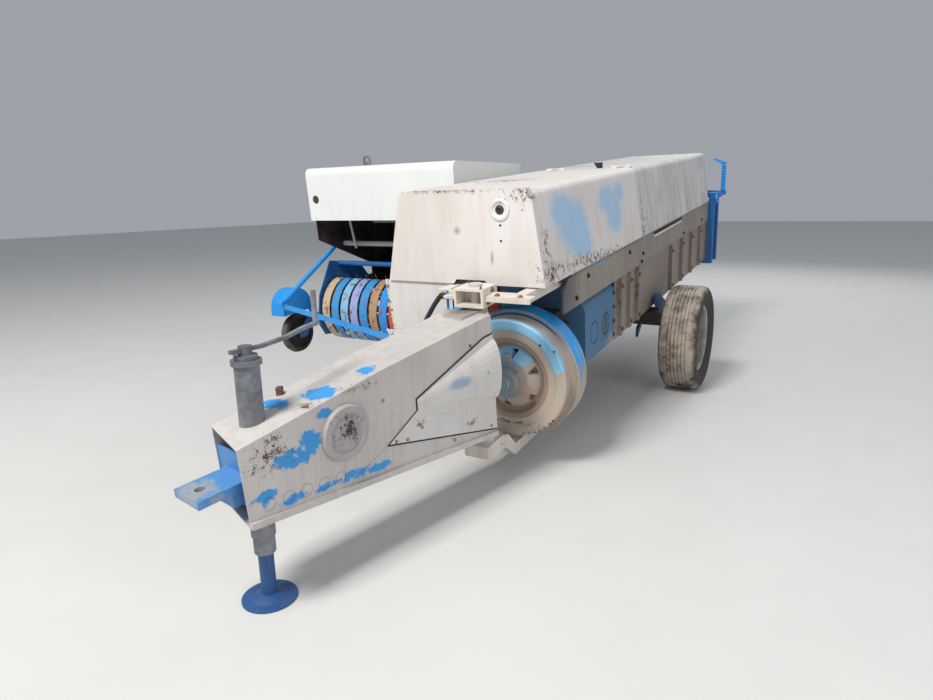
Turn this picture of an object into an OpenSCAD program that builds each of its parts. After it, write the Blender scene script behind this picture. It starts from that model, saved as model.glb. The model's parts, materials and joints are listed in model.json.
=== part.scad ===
/* [Stance] */
// How far the machine leans nose-down on its jack, in degrees
nose_down = 5; // [3:0.5:7]
// How far the drawbar is swung towards the pickup side, in degrees
drawbar_yaw = 10; // [8:1:14]

/* [Wheels] */
// Outer diameter of the left tyre
left_tyre_od = 690; // [670:5:720]
// Width of the left tyre
left_tyre_w = 235; // [200:5:245]
// Outer diameter of the right tyre
right_tyre_od = 620; // [590:5:640]
// Width of the right tyre
right_tyre_w = 165; // [140:5:180]
// Distance from the chamber's centre line to the left tyre's middle
left_wheel_x = 465; // [455:5:490]
// Distance from the chamber's centre line to the right tyre's middle
right_wheel_x = 1400; // [1360:5:1440]
// Flange radius of the left rim
left_flange_r = 214; // [205:1:225]
// Flange radius of the right rim
right_flange_r = 170; // [165:1:180]

/* [Bale chamber] */
// Outer width of the bale chamber
chamber_w = 470; // [450:5:500]
// Height of the chamber's underside above its ground line
chamber_low = 560; // [540:5:580]
// Height of the chamber's upper side
chamber_high = 1000; // [980:5:1010]
// Thickness of the chamber plates
plate_t = 8; // [6:1:12]
// How far the chamber reaches behind the axle
chamber_back = 2050; // [1950:10:2150]
// Where the chamber's front end is, ahead of the axle
chamber_front = 850; // [800:10:900]

/* [Hoods] */
// How far the front hood's nose is ahead of the axle
hood_front = 1860; // [1840:5:1900]
// Where the front hood ends, ahead of the axle
hood_seam = 378; // [340:2:420]
// How far the rear hood reaches behind the axle
hood_back = 1720; // [1600:10:1760]
// Height of the hoods' lower edge
hood_low = 1070; // [1066:1:1080]
// Height of the hoods' top
hood_high = 1480; // [1440:5:1520]
// Thickness of the hood sheets
sheet_t = 4; // [3:0.5:6]
// Height of the feeder hood's lower edge
feeder_low = 1270; // [1250:5:1290]
// Height of the feeder hood's top
feeder_high = 1590; // [1550:5:1620]

/* [Flywheel] */
// Radius of the front disc
disc_r = 288; // [280:1:296]
// Radius of the rear drum
drum_r = 316; // [308:1:318]
// Height of the flywheel's axis
fly_z = 601; // [590:1:615]
// Sideways place of the flywheel's axis
fly_x = 12; // [5:1:20]

/* [Drawbar] */
// Width of the drawbar's sheet box
bar_w = 230; // [220:5:240]
// Wall of the sheet box
bar_t = 6; // [4:1:8]
// Length from the pivot to the box's front end
bar_len = 1240; // [1210:5:1270]
// Distance from the box's front end back to the jack
jack_behind = 112; // [108:1:130]
// Radius of the jack's inner tube
leg_r = 25; // [22:1:28]
// Radius of the jack's foot
foot_r = 90; // [80:1:110]
// Height of the jack's upper tube above the floor
jack_high = 800; // [780:5:820]

/* [Pickup] */
// Radius of the stripper bands' outside
band_r = 215; // [205:1:225]
// Width of one stripper band
band_w = 60; // [56:1:62]
// Distance from one stripper band to the next
band_pitch = 78; // [76:1:80]
// Number of stripper bands
band_n = 17; // [15:1:17]
// Distance from the reel's axis to the tine tips
tine_reach = 272; // [262:1:280]
// Thickness of a spring tine
tine_d = 6; // [5:0.5:7]
// Distance of the reel's axis ahead of the axle
reel_y = 1000; // [980:5:1010]
// Height of the reel's axis
reel_z = 660; // [650:5:680]

/* [Hidden] */
$fn = 48;

axle_z = left_tyre_od / 2;
right_axle_z = right_tyre_od / 2;
half_w = chamber_w / 2;
face_gap = 0.3;

// Hood outline: lower edge, then shoulders pulled in
hood_left = half_w + 21;
hood_right = -555;
hood_left_in = 51;
hood_right_in = 92;
hood_round = 40;

// Drawbar pivot and its two seats
pivot_x = -20;
pivot_y = -1970;
pin_r = 22;
pin_slack = 0.5;
collar_r = 50;
frame_low = 1020;
frame_high = 1064;
block_low = 1010;
block_high = 1090;
block_w = 140;
block_d = 130;
lever_low = 1035;
arm_seat = 375;
arm_low = 220;
arm_t = 55;
arm_w = 120;

// Side view of the drawbar's box
bar_rear = -50;
bar_rear_low = 445;
bar_rear_high = 990;
bar_neck = 678;
bar_neck_high = 937;
bar_front_low = 610;
bar_front_high = 870;
front_skew = 50;
jack_tube_r = 39;
jack_collar_r = 47;
leg_slack = 0.5;

// Bow that keeps people away from the pickup: places along the machine and above the ground
bow_r = 17;
bow_top = [-904, 1083];
bow_tip = [-1490, 790];
bow_bar_angle = -18.2;

// Pickup, and what stands beside it on the machine's right
reel_right = -1665;
bow_x = reel_right - 41;
side_t = 6;
bands_left = reel_right + 27;
bands_right = bands_left + (band_n - 1) * band_pitch + band_w;
pickup_inner = bands_right + 17;
gauge_x = reel_right - 130;
gauge_y = 1310;
gauge_z = 545;
gauge_arm_x = reel_right - 87;
shield_x = reel_right - 185;
lift_y = -700;
lift_z = 780;
lift_pin_r = 15;
band_tail = 205;
shaft_slack = 0.1;

// The frame's origin lies under the middle of the machine's box
right_edge = shield_x;
left_edge = left_wheel_x + left_tyre_w / 2;
origin_x = (left_edge + right_edge) / 2;
hitch_reach = 120;
hitch_w = 140;
hitch_low = bar_front_low + 110;
hitch_t = 26;
front_level = pivot_y - (bar_len + hitch_reach) * cos(drawbar_yaw) - hitch_w / 2 * sin(drawbar_yaw);
front_edge = front_level * cos(nose_down) - (hitch_low + hitch_t - axle_z) * sin(nose_down);
rear_edge = chamber_back * cos(nose_down) - (chamber_low - plate_t - axle_z) * sin(nose_down);
origin_y = (front_edge + rear_edge) / 2;

// Stands what is drawn on its level ground line on the floor, nose down about the axle
module chassis() {
    translate([-origin_x, -origin_y, axle_z])
        rotate([nose_down, 0, 0])
            translate([0, 0, -axle_z])
                children();
}

// Upright frame of the floor, with the same middle as the chassis
module floor_frame() {
    translate([-origin_x, -origin_y, 0])
        children();
}

// Frame of the drawbar: its pivot at the middle, its length along -Y
module drawbar() {
    chassis()
        translate([pivot_x, pivot_y, 0])
            rotate([0, 0, -drawbar_yaw])
                children();
}

// Place of the jack on the floor
jack_at = bar_len - jack_behind;
jack_x = pivot_x - jack_at * sin(drawbar_yaw);
jack_level_y = pivot_y - jack_at * cos(drawbar_yaw);
jack_mid_z = 700;
jack_y = jack_level_y * cos(nose_down) - (jack_mid_z - axle_z) * sin(nose_down);

// Plate drawn in Y and Z, of a thickness along X
module side_plate(x, t, points) {
    translate([x, 0, 0])
        rotate([90, 0, 90])
            linear_extrude(t)
                polygon(points);
}

// Round bar along X
module bar_x(r, x0, x1, y, z) {
    translate([x0, y, z])
        rotate([0, 90, 0])
            cylinder(r = r, h = x1 - x0);
}

// Round bar between two points
module rod(a, b, r, sides = 24) {
    d = b - a;
    len = norm(d);
    translate(a)
        rotate([0, acos(d[2] / len), atan2(d[1], d[0])])
            cylinder(r = r, h = len, $fn = sides);
}

// Quarter of a circle as points: centre, radius, first angle, last angle
function arc(c, r, a0, a1, n = 5) =
    [for (i = [0 : n]) [c[0] + r * cos(a0 + (a1 - a0) * i / n), c[1] + r * sin(a0 + (a1 - a0) * i / n)]];

// Section of the hoods across the machine, pulled in by t
function hood_section(t, low) = concat(
    [[hood_left - t, low]],
    arc([hood_left - hood_left_in - hood_round, hood_high - hood_round], hood_round - t, 7, 90),
    arc([hood_right + hood_right_in + hood_round, hood_high - hood_round], hood_round - t, 90, 167),
    [[hood_right + t, low]]);

// Sheet hood between two places along the machine
module hood_shell(y0, y1, low, high_cut = 0) {
    translate([0, y1, 0])
        rotate([90, 0, 0])
            difference() {
                linear_extrude(y1 - y0)
                    polygon(hood_section(0, low));
                translate([0, 0, -1])
                    linear_extrude(y1 - y0 + 1 - (high_cut > 0 ? sheet_t : -1))
                        polygon(hood_section(sheet_t, low - 1));
            }
}

module chamber_wall(x, rib_x) {
    rib_t = 22;
    rib_w = 34;
    side_plate(x, plate_t, [
        [-chamber_front, chamber_low], [chamber_back, chamber_low],
        [chamber_back, chamber_high], [-chamber_front, chamber_high]]);
    for (y = [-800, -620, -450, 420, 760, 1100, 1440])
        translate([rib_x, y, chamber_low])
            cube([rib_t, rib_w, chamber_high - chamber_low - 110]);
}

module chamber_left() {
    color("silver")
        chassis()
            chamber_wall(half_w - plate_t, half_w);
}

// The right wall starts behind the feed opening
feed_back = -330;

module chamber_right() {
    color("silver")
        chassis() {
            side_plate(-half_w, plate_t, [
                [feed_back, chamber_low], [chamber_back, chamber_low],
                [chamber_back, chamber_high], [feed_back, chamber_high]]);
            for (y = [420, 760, 1100, 1440])
                translate([-half_w - 22, y, chamber_low])
                    cube([22, 34, chamber_high - chamber_low]);
        }
}

module chamber_floor() {
    color("silver")
        chassis()
            difference() {
                translate([-half_w, -chamber_front, chamber_low - plate_t])
                    cube([chamber_w, chamber_front + chamber_back, plate_t]);
                for (x = [-110, 80])
                    translate([x, 60, chamber_low - 20])
                        cube([30, 420, 40]);
            }
}

// The right rail carries the hoods' right edge
right_rail_t = 6;
rail_in = hood_right + right_rail_t + face_gap;

module chamber_top() {
    color("silver")
        chassis() {
            // Strips between the slots: where each starts and how wide it is
            for (strip = [[-half_w, 90], [-40, 80], [half_w - 90, 90]])
                translate([strip[0], -chamber_front, chamber_high])
                    cube([strip[1], chamber_front + chamber_back, 10]);
            // Cross members: place along the machine, how far each reaches to the right
            for (bar = [[-chamber_front, -rail_in], [-300, -rail_in], [345, -rail_in], [760, -rail_in],
                    [1300, -rail_in], [chamber_back - 80, half_w]])
                translate([-bar[1], bar[0], chamber_high + 10 + face_gap])
                    cube([bar[1] + half_w, 80, 30 - face_gap]);
        }
}

// Bent side plate that runs along the machine under the hoods
rail_low = 900;
rail_high = hood_low - face_gap;
rail_t = 12;

module left_rail() {
    color("gainsboro")
        chassis() {
            side_plate(half_w + face_gap, rail_t, [
                [-1630, rail_low], [1850, rail_low], [2040, 985],
                [2040, rail_high], [-1560, rail_high], [-1630, 1010]]);
            translate([215 + face_gap, -1560, rail_high - 8])
                cube([hood_left - 215 - face_gap, 3320, 8]);
        }
}

module right_rail() {
    color("gainsboro")
        chassis()
            side_plate(hood_right, right_rail_t, [
                [-panel_y + sheet_t + face_gap, chamber_high + 10], [1700, chamber_high + 10],
                [1700, rail_high], [-panel_y + sheet_t + face_gap, rail_high]]);
}

// Sheet box in front of the chamber, where the plunger's crank turns
box_front = 1330;
box_round = 70;

function box_section(t) = concat(
    [[-half_w + t, chamber_low + t], [half_w - t, chamber_low + t]],
    arc([half_w - box_round, rail_low - 8 - box_round], box_round - t, 0, 90),
    [[-half_w + t, rail_low - 8 - t]]);

module plunger_box() {
    color("steelblue")
        chassis() {
            difference() {
                translate([0, -chamber_front - face_gap, 0])
                    rotate([90, 0, 0])
                        linear_extrude(box_front - chamber_front)
                            polygon(box_section(0));
                translate([0, -chamber_front + 1, 0])
                    rotate([90, 0, 0])
                        linear_extrude(box_front - chamber_front - plate_t + 1)
                            polygon(box_section(plate_t));
                for (y = [-1195, -1010])
                    translate([half_w - 6, y, 690])
                        rotate([0, 90, 0])
                            difference() {
                                cylinder(r = 62, h = 12);
                                translate([0, 0, -1])
                                    cylinder(r = 54, h = 14);
                            }
            }
            translate([-half_w, -box_front - face_gap, rail_low - 8])
                cube([chamber_w, 120, frame_low - face_gap - rail_low + 8]);
        }
}

fly_shaft_r = 20;
fly_front = 1762;
fly_depth = 206;

module gearbox() {
    gear_front = 1500;
    color("dimgray")
        chassis() {
            translate([-150, -gear_front, 450])
                cube([300, gear_front - box_front - 2 * face_gap, 330]);
            translate([fly_x, -gear_front, fly_z])
                rotate([90, 0, 0]) {
                    cylinder(r = 95, h = 50);
                    cylinder(r = fly_shaft_r, h = fly_front - gear_front - 7);
                }
            translate([-110, -gear_front - 20, 780])
                cube([220, gear_front + 20 - box_front - 2 * face_gap, 60]);
        }
}

// Front frame: two channels over the flywheel and the open box that holds the pivot
channel_out = 215;
channel_w = 50;
channel_t = 6;
channel_front = -1950;
lever_reach = 75;

module frame_channel(x) {
    length = -channel_front - box_front + 110;
    difference() {
        translate([x, channel_front, frame_low])
            cube([channel_w, length, frame_high - frame_low]);
        translate([x + (x > 0 ? -1 : channel_t), channel_front - 1, frame_low + channel_t])
            cube([channel_w - channel_t + 1, length - 100, frame_high - frame_low - 2 * channel_t]);
    }
}

module pivot_block() {
    wall = 10;
    difference() {
        translate([pivot_x - block_w / 2, pivot_y - block_d / 2, block_low])
            cube([block_w, block_d, block_high - block_low]);
        translate([pivot_x - block_w / 2 + wall, pivot_y - block_d / 2 - 1, block_low + wall])
            cube([block_w - 2 * wall, block_d - wall, block_high - block_low - 2 * wall]);
    }
}

module front_frame() {
    color("gainsboro")
        chassis()
            difference() {
                union() {
                    for (x = [-channel_out, channel_out - channel_w])
                        frame_channel(x);
                    translate([-channel_out, channel_front - 10, frame_low])
                        cube([2 * channel_out, 14, frame_high - frame_low]);
                    pivot_block();
                    // Angle that reaches out to the left, and the hose's lever on the right
                    translate([pivot_x + block_w / 2 - 1, pivot_y - 45, 1050])
                        cube([206, 57, 8]);
                    translate([pivot_x + block_w / 2 - 1, pivot_y - 45, 1036])
                        cube([206, 8, 15]);
                    translate([pivot_x - block_w / 2 - lever_reach, pivot_y - 30, lever_low])
                        cube([lever_reach + 1, 30, 12]);
                }
                translate([pivot_x, pivot_y, block_low - 1])
                    cylinder(r = pin_r + pin_slack, h = block_high - block_low + 2);
            }
}

// Lower arm under the flywheel, which holds the drawbar's lower pivot
module pivot_arm() {
    wheel_rear = -fly_front + fly_depth;
    riser = -box_front + 40;
    color("silver")
        chassis()
            difference() {
                side_plate(pivot_x - arm_w / 2, arm_w, [
                    [pivot_y - 80, arm_seat - 58], [pivot_y - 80, arm_seat], [pivot_y + 60, arm_seat],
                    [pivot_y + 125, arm_seat - 20], [-fly_front - 12, arm_low + arm_t],
                    [wheel_rear + 20, arm_low + arm_t], [riser, arm_low + arm_t + 120],
                    [riser, chamber_low - face_gap], [riser + 290, chamber_low - face_gap],
                    [riser + 290, chamber_low - plate_t - 8], [riser + 110, arm_low + 40],
                    [riser + 70, arm_low], [-fly_front - 20, arm_low], [pivot_y + 90, arm_seat - 75]]);
                translate([pivot_x, pivot_y, arm_low])
                    cylinder(r = pin_r + pin_slack, h = arm_seat - arm_low + 1);
                // The beam is a trough, open below
                side_plate(pivot_x - arm_w / 2 + 10, arm_w - 20, [
                    [pivot_y + 40, arm_low - 1], [pivot_y + 40, arm_seat - 11], [pivot_y + 118, arm_seat - 29],
                    [-fly_front - 16, arm_low + arm_t - 11], [riser, arm_low + arm_t - 11],
                    [riser, arm_low - 1]]);
            }
}

// Pale sheet below the hood, on the pickup side of the drawbar
panel_y = 1850;

module front_panel() {
    color("gainsboro")
        chassis()
            translate([0, -panel_y + sheet_t, 0])
                rotate([90, 0, 0])
                    linear_extrude(sheet_t)
                        polygon([[-590, rail_high], [-215 - face_gap, rail_high], [-215 - face_gap, 820],
                            [-420, 735], [-560, 750]]);
}

axle_r = 32;

module main_axle() {
    color("dimgray")
        chassis() {
            beam = 90;
            left_in = left_wheel_x - left_tyre_w / 2 - 22;
            right_in = -right_wheel_x + right_tyre_w / 2 + 22;
            translate([right_in, -beam / 2, 420])
                cube([left_in - right_in, beam, beam]);
            translate([left_in - 16, -beam / 2, axle_z - 50])
                cube([16, beam, 160]);
            translate([right_in, -beam / 2, right_axle_z - 50])
                cube([16, beam, 200]);
            bar_x(axle_r, left_in - 16, left_wheel_x + 60, 0, axle_z);
            bar_x(axle_r, -right_wheel_x - 50, right_in + 16,
                (right_axle_z - axle_z) * sin(nose_down),
                axle_z + (right_axle_z - axle_z) * cos(nose_down));
            for (x = [-160, 100])
                translate([x, -70, 510])
                    cube([60, 140, chamber_low - plate_t - 510]);
        }
}

module rear_hood() {
    color("gainsboro")
        chassis() {
            hood_shell(-hood_seam + 6, hood_back, hood_low);
            hood_hinges(1);
        }
}

module front_hood() {
    lock_x = 57;
    color("whitesmoke")
        chassis() {
            difference() {
                hood_shell(-hood_front, -hood_seam, hood_low, 1);
                // Notch in the nose's lower edge
                translate([0, -hood_front + sheet_t + 1, hood_low])
                    rotate([90, 0, 0])
                        linear_extrude(sheet_t + 2)
                            polygon([[-195, -1], [-178, 20], [-33, 20], [-13, -1]]);
                translate([lock_x, -hood_front + 1.6, hood_high - 84])
                    rotate([90, 0, 0])
                        cylinder(r = 30, h = 5);
                for (z = [hood_high - 149, hood_high - 215])
                    translate([lock_x, -hood_front + 10, z])
                        rotate([90, 0, 0])
                            cylinder(r = 5, h = 20);
            }
            hood_hinges(-1);
        }
}

// Hinge barrels on top of the seam: how far each reaches along X, and which hood it is on
hinge_r = 6;
hinge_y = -hood_seam + 3;
hinge_z = hood_high + hinge_r + face_gap;

module hood_hinges(side) {
    for (x = [-360, 60])
        for (i = [0 : 2])
            if ((i == 1) == (side > 0)) {
                bar_x(hinge_r, x + i * 40, x + i * 40 + 39, hinge_y, hinge_z);
                translate([x + i * 40, side > 0 ? hinge_y : hinge_y - 34, hood_high - 1])
                    cube([39, 34, 4]);
            }
}

// White hood over the feeder, open below
feeder_front = -1180;
feeder_right = reel_right + 5;
feeder_end = reel_right + 15;
feeder_in = -590;

feeder_fall = 60;

// Height of the feeder hood's sloping top at a place along the machine
function feeder_top(y) =
    feeder_high - feeder_fall * (y - feeder_front - 40) / (feed_back - feeder_front - 40);

module feeder_hood() {
    color("white")
        chassis()
            difference() {
                side_plate(feeder_right, 1090, concat(
                    [[feed_back, feeder_low]], [[feed_back, feeder_high - feeder_fall]],
                    arc([feeder_front + 40, feeder_high - 40], 40, 90, 180),
                    [[feeder_front, feeder_low]]));
                side_plate(feeder_right + sheet_t, 1090 - 2 * sheet_t, concat(
                    [[feed_back - sheet_t, feeder_low - 1]], [[feed_back - sheet_t, feeder_high - feeder_fall - sheet_t]],
                    arc([feeder_front + 40, feeder_high - 40], 40 - sheet_t, 90, 180),
                    [[feeder_front + sheet_t, feeder_low - 1]]));
                translate([-1600, feeder_front + 10, 1400])
                    rotate([90, 0, 0])
                        cylinder(r = 26, h = 20);
            }
}

module feeder_box() {
    color("slategray")
        chassis() {
            floor_z = 690;
            floor_front = -640;
            translate([feeder_end, floor_front, floor_z])
                cube([-half_w - feeder_end - face_gap, feed_back - floor_front, side_t]);
            translate([feeder_end, feed_back - 10, floor_z])
                cube([feeder_in + side_t - feeder_end, 10, feeder_low - face_gap - floor_z]);
            translate([feeder_end, feed_back - 10, floor_z])
                cube([-half_w - feeder_end - face_gap, 10, chamber_high - floor_z]);
            // Ears and pins that the pickup hangs on
            side_plate(reel_right - 12, side_t, [
                [lift_y - 35, lift_z - 30], [lift_y - 35, lift_z + 30], [-600, lift_z + 40], [-600, lift_z - 40]]);
            translate([reel_right - 12, -642, lift_z - 38])
                cube([feeder_end - reel_right + 14, 42, 76]);
            bar_x(lift_pin_r, reel_right - 8, reel_right + side_t, lift_y, lift_z);
            side_plate(pickup_inner + side_t + 6, 8, [
                [lift_y - 35, lift_z - 30], [lift_y - 35, lift_z + 30], [lift_y + 20, lift_z + 30],
                [-600, floor_z + 3], [floor_front, floor_z + 3]]);
            bar_x(lift_pin_r, pickup_inner, pickup_inner + side_t + 10, lift_y, lift_z);
            difference() {
                feeder_wall(feeder_end, floor_z);
                translate([feeder_end - 1, bow_top[0], bow_top[1]])
                    rotate([0, 90, 0])
                        cylinder(r = bow_r + face_gap, h = side_t + 2);
            }
            feeder_wall(feeder_in, 900);
        }
}

// End wall of the feeder, down to a height at its rear
module feeder_wall(x, low) {
    side_plate(x, side_t, [
        [-640, low], [feed_back, low], [feed_back, feeder_low - face_gap],
        [-1150, feeder_low - face_gap], [-1150, 1140], [-640, 900]]);
}

// Curved feeding tines that hang from a bar under the white hood
module packer() {
    packer_y = -560;
    packer_z = 1200;
    tine_plate = 14;
    color("gainsboro")
        chassis() {
            bar_x(24, feeder_end + side_t + face_gap, feeder_in - face_gap, packer_y, packer_z);
            for (x = [-1400, -1180, -960, -740])
                translate([x, packer_y, packer_z])
                    rotate([90, 0, 90])
                        linear_extrude(tine_plate)
                            polygon(concat(
                                arc([0, 0], 46, 20, 160, 6),
                                arc([120, -160], 230, 140, 200, 6),
                                arc([150, -150], 200, 200, 140, 6)));
        }
}

// Two knotters on their shaft, on top of the chamber under the rear hood
module knotter_stack() {
    knot_y = 380;
    knot_z = 1180;
    seat_z = chamber_high + 40 + face_gap;
    color("steelblue")
        chassis() {
            bar_x(18, -280, half_w - 44, knot_y, knot_z);
            for (x = [-110, 80]) {
                bar_x(95, x, x + 22, knot_y, knot_z);
                translate([x + 22, knot_y - 30, seat_z])
                    cube([34, 70, 160]);
                bar_x(26, x + 22, x + 76, knot_y - 50, knot_z - 70);
            }
            for (x = [-half_w + 4, half_w - 60])
                translate([x, knot_y - 25, seat_z])
                    cube([16, 50, 160]);
        }
}

// Needles hang below the chamber on their yoke
module needle_frame() {
    color("steelblue")
        chassis() {
            for (side = [-1, 1])
                side_plate(side > 0 ? half_w + 22.3 : -half_w - 30.3, 8, [
                    [-60, 640], [20, 640], [330, 470], [330, 420], [270, 420], [-60, 560]]);
            bar_x(20, -half_w - 30, half_w + 30, 300, 440);
            for (x = [-108, 82])
                side_plate(x, 20, concat(
                    arc([40, 560], 280, 336, 290, 8),
                    [[120, 275]],
                    arc([40, 560], 240, 292, 336, 8)));
            for (side = [-1, 1])
                bar_x(16, side > 0 ? half_w : -half_w - 30.3, side > 0 ? half_w + 30.3 : -half_w, -20, 600);
        }
}

// Frame over the chamber's rear end that squeezes the bales
module density_frame() {
    post = 46;
    post_in = half_w + rail_t + 2 * face_gap;
    low = chamber_low - plate_t - face_gap;
    spring_seat = 1140;
    color("steelblue")
        chassis()
            for (y = [spring_y - post / 2 - 200, spring_y - post / 2]) {
                for (x = [-post_in - post, post_in])
                    translate([x, y, low - 40])
                        cube([post, post, spring_seat + 20 - low]);
                translate([-post_in - post, y, low - 40])
                    cube([2 * (post_in + post), post, 40]);
                translate([-spring_x - 24, y, spring_seat - 40])
                    cube([2 * spring_x + 48, post, 40]);
            }
}

// Coil springs as stacked rings on their rods, with a crank on each
spring_x = 325;
spring_y = 2013;
spring_turns = 10;
spring_pitch = 22;

module density_springs() {
    color("royalblue")
        chassis()
            for (x = [-spring_x, spring_x])
                translate([x, spring_y, 1140 + face_gap]) {
                    cylinder(r = 16, h = spring_turns * spring_pitch + 30);
                    for (i = [0 : spring_turns - 1])
                        translate([0, 0, 14 + i * spring_pitch])
                            rotate_extrude($fn = 24)
                                translate([18, 0])
                                    circle(r = 6, $fn = 8);
                    translate([0, 0, spring_turns * spring_pitch + 20])
                        rotate([90, 0, 200])
                            translate([0, 0, -8])
                                linear_extrude(16)
                                    polygon([[-10, -20], [10, -20], [90, 30], [84, 44], [-10, 4]]);
                }
}

// Open-topped twine store beside the chamber, closed by its lid
twine_x0 = -960;
twine_x1 = -566;
twine_y0 = -280;
twine_y1 = 420;
twine_z0 = 760;
twine_z1 = 1180;

// The lid's hinges: a barrel in three parts, the middle one on the lid
lid_hinge_r = 6;
lid_hinge_x = twine_x1 + lid_hinge_r;
lid_hinge_z = twine_z1 + face_gap + sheet_t + lid_hinge_r;

module lid_barrel(y, length) {
    translate([lid_hinge_x, y, lid_hinge_z])
        rotate([-90, 0, 0])
            cylinder(r = lid_hinge_r, h = length);
}

module twine_box() {
    color("gainsboro")
        chassis() {
            for (y = [twine_y0 + 60, twine_y1 - 160])
                for (end = [0, 70]) {
                    lid_barrel(y + end, 30);
                    translate([twine_x1 - 1, y + end, twine_z1 - 50])
                        cube([5, 30, 50]);
                    translate([twine_x1 + face_gap, y + end, twine_z1 - 1])
                        cube([4 - face_gap, 30, lid_hinge_z - twine_z1 + 1]);
                }
            for (y = [twine_y0 + 60, twine_y1 - 160])
                translate([twine_x0, y, twine_z0 - 40])
                    cube([-half_w - twine_x0 - face_gap, 40, 40]);
            difference() {
                translate([twine_x0, twine_y0, twine_z0])
                    cube([twine_x1 - twine_x0, twine_y1 - twine_y0, twine_z1 - twine_z0]);
                translate([twine_x0 + 5, twine_y0 + 5, twine_z0 + 5])
                    cube([twine_x1 - twine_x0 - 10, twine_y1 - twine_y0 - 10, twine_z1 - twine_z0]);
            }
        }
}

module twine_lid() {
    color("whitesmoke")
        chassis() {
            difference() {
                translate([twine_x0 - 9, twine_y0 - 9, twine_z1 - 30])
                    cube([twine_x1 - twine_x0 + 9, twine_y1 - twine_y0 + 18, 30 + face_gap + sheet_t]);
                translate([twine_x0 - 6, twine_y0 - 6, twine_z1 - 31])
                    cube([twine_x1 - twine_x0 + 12, twine_y1 - twine_y0 + 12, 31 + face_gap]);
            }
            for (y = [twine_y0 + 60, twine_y1 - 160]) {
                lid_barrel(y + 31, 38);
                translate([twine_x1 - 40, y + 31, lid_hinge_z - lid_hinge_r - 1])
                    cube([40 + lid_hinge_r, 38, 4]);
            }
        }
}

module lifting_eye() {
    color("dimgray")
        chassis()
            translate([-1457, -800, feeder_top(-824) + face_gap + 52])
                rotate([90, 0, 20])
                    difference() {
                        union() {
                            cylinder(r = 26, h = 14);
                            translate([-26, -52, 0])
                                cube([52, 52, 14]);
                        }
                        translate([0, 0, -1])
                            cylinder(r = 14, h = 16);
                    }
}

// Rubber hose from the pivot frame down to the front panel
hose_r = 11;
hose_route = [[-165.3, -1985, 1041], [-185, -1985, 1040], [-215, -1983, 1012], [-255, -1972, 965],
    [-300, -1948, 915], [-340, -1910, 870], [-375, -1875, 838], [-398, -1861.3, 815],
    [-420, -1861.3, 790]];

function hose_ring(p, d, n) =
    let (side = cross(d, [0, 0, 1]) / norm(cross(d, [0, 0, 1])), up = cross(side, d))
    [for (i = [0 : n - 1]) p + hose_r * (side * cos(360 * i / n) + up * sin(360 * i / n))];

module hydraulic_hose() {
    sides = 10;
    last = len(hose_route) - 1;
    dirs = [for (i = [0 : last])
        let (v = hose_route[min(i + 1, last)] - hose_route[max(i - 1, 0)]) v / norm(v)];
    rings = [for (i = [0 : last]) hose_ring(hose_route[i], dirs[i], sides)];
    color("black")
        chassis()
            polyhedron(
                points = [for (r = rings) for (p = r) p],
                faces = concat(
                    [[for (j = [0 : sides - 1]) j]],
                    [for (i = [0 : last - 1]) for (j = [0 : sides - 1])
                        [i * sides + j, (i + 1) * sides + j,
                            (i + 1) * sides + (j + 1) % sides, i * sides + (j + 1) % sides]],
                    [[for (j = [sides - 1 : -1 : 0]) last * sides + j]]));
}

// Flywheel: revolved about its shaft, drum behind and a dished disc in front
module flywheel() {
    f = fly_front;
    bore = fly_shaft_r + shaft_slack;
    color("deepskyblue")
        chassis()
            translate([fly_x, 0, fly_z])
                rotate([90, 0, 0])
                    difference() {
                        rotate_extrude($fn = 96)
                            polygon([
                                [bore, f - fly_depth], [60, f - fly_depth], [60, f - 66], [150, f - 56],
                                [drum_r - 76, f - 30], [drum_r - 64, f - 92], [drum_r - 30, f - 107],
                                [drum_r - 18, f - fly_depth + 14], [drum_r, f - fly_depth + 14],
                                [drum_r, f - 90], [drum_r - 8, f - 86], [drum_r - 40, f - 86],
                                [drum_r - 46, f - 22], [disc_r, f - 18], [disc_r, f], [disc_r - 6, f + 5],
                                [disc_r - 44, f + 5], [disc_r - 50, f - 1], [disc_r - 86, f - 1],
                                [disc_r - 92, f - 7], [180, f - 7], [172, f - 34], [160, f - 38],
                                [140, f - 26], [100, f], [bore, f]]);
                        // Openings between the spokes
                        for (a = [20 : 60 : 320])
                            rotate([0, 0, a])
                                translate([0, 0, f - 80])
                                    linear_extrude(90)
                                        polygon([[104, -5], [146, -22], [146, 22], [104, 5]]);
                    }
}

// Slip clutch and nut on the flywheel's shaft
module clutch_hub() {
    color("peru")
        chassis()
            translate([fly_x, -fly_front - face_gap, fly_z])
                rotate([90, 0, 0]) {
                    cylinder(r = 88, h = 26);
                    cylinder(r = 62, h = 60);
                    cylinder(r = 34, h = 84);
                    cylinder(r = 24, h = 96, $fn = 6);
                    for (a = [30 : 120 : 270])
                        rotate([0, 0, a])
                            translate([72, 0, 0])
                                cylinder(r = 11, h = 44, $fn = 6);
                    for (a = [90 : 120 : 330])
                        rotate([0, 0, a])
                            linear_extrude(20)
                                polygon([[60, -40], [128, -14], [128, 14], [60, 40]]);
                }
}

// Side view of the drawbar's box, its Z up: outside, and inside with open ends
bar_outside = [
    [bar_rear, bar_rear_low], [bar_rear, bar_rear_high], [-bar_neck, bar_neck_high],
    [-bar_len, bar_front_high], [-bar_len, bar_front_low]];
bar_inside = [
    [bar_rear + 1, bar_rear_low + bar_t], [bar_rear + 1, bar_rear_high - bar_t],
    [-bar_neck, bar_neck_high - bar_t], [-bar_len - 1, bar_front_high - bar_t],
    [-bar_len - 1, bar_front_low + bar_t]];

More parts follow.
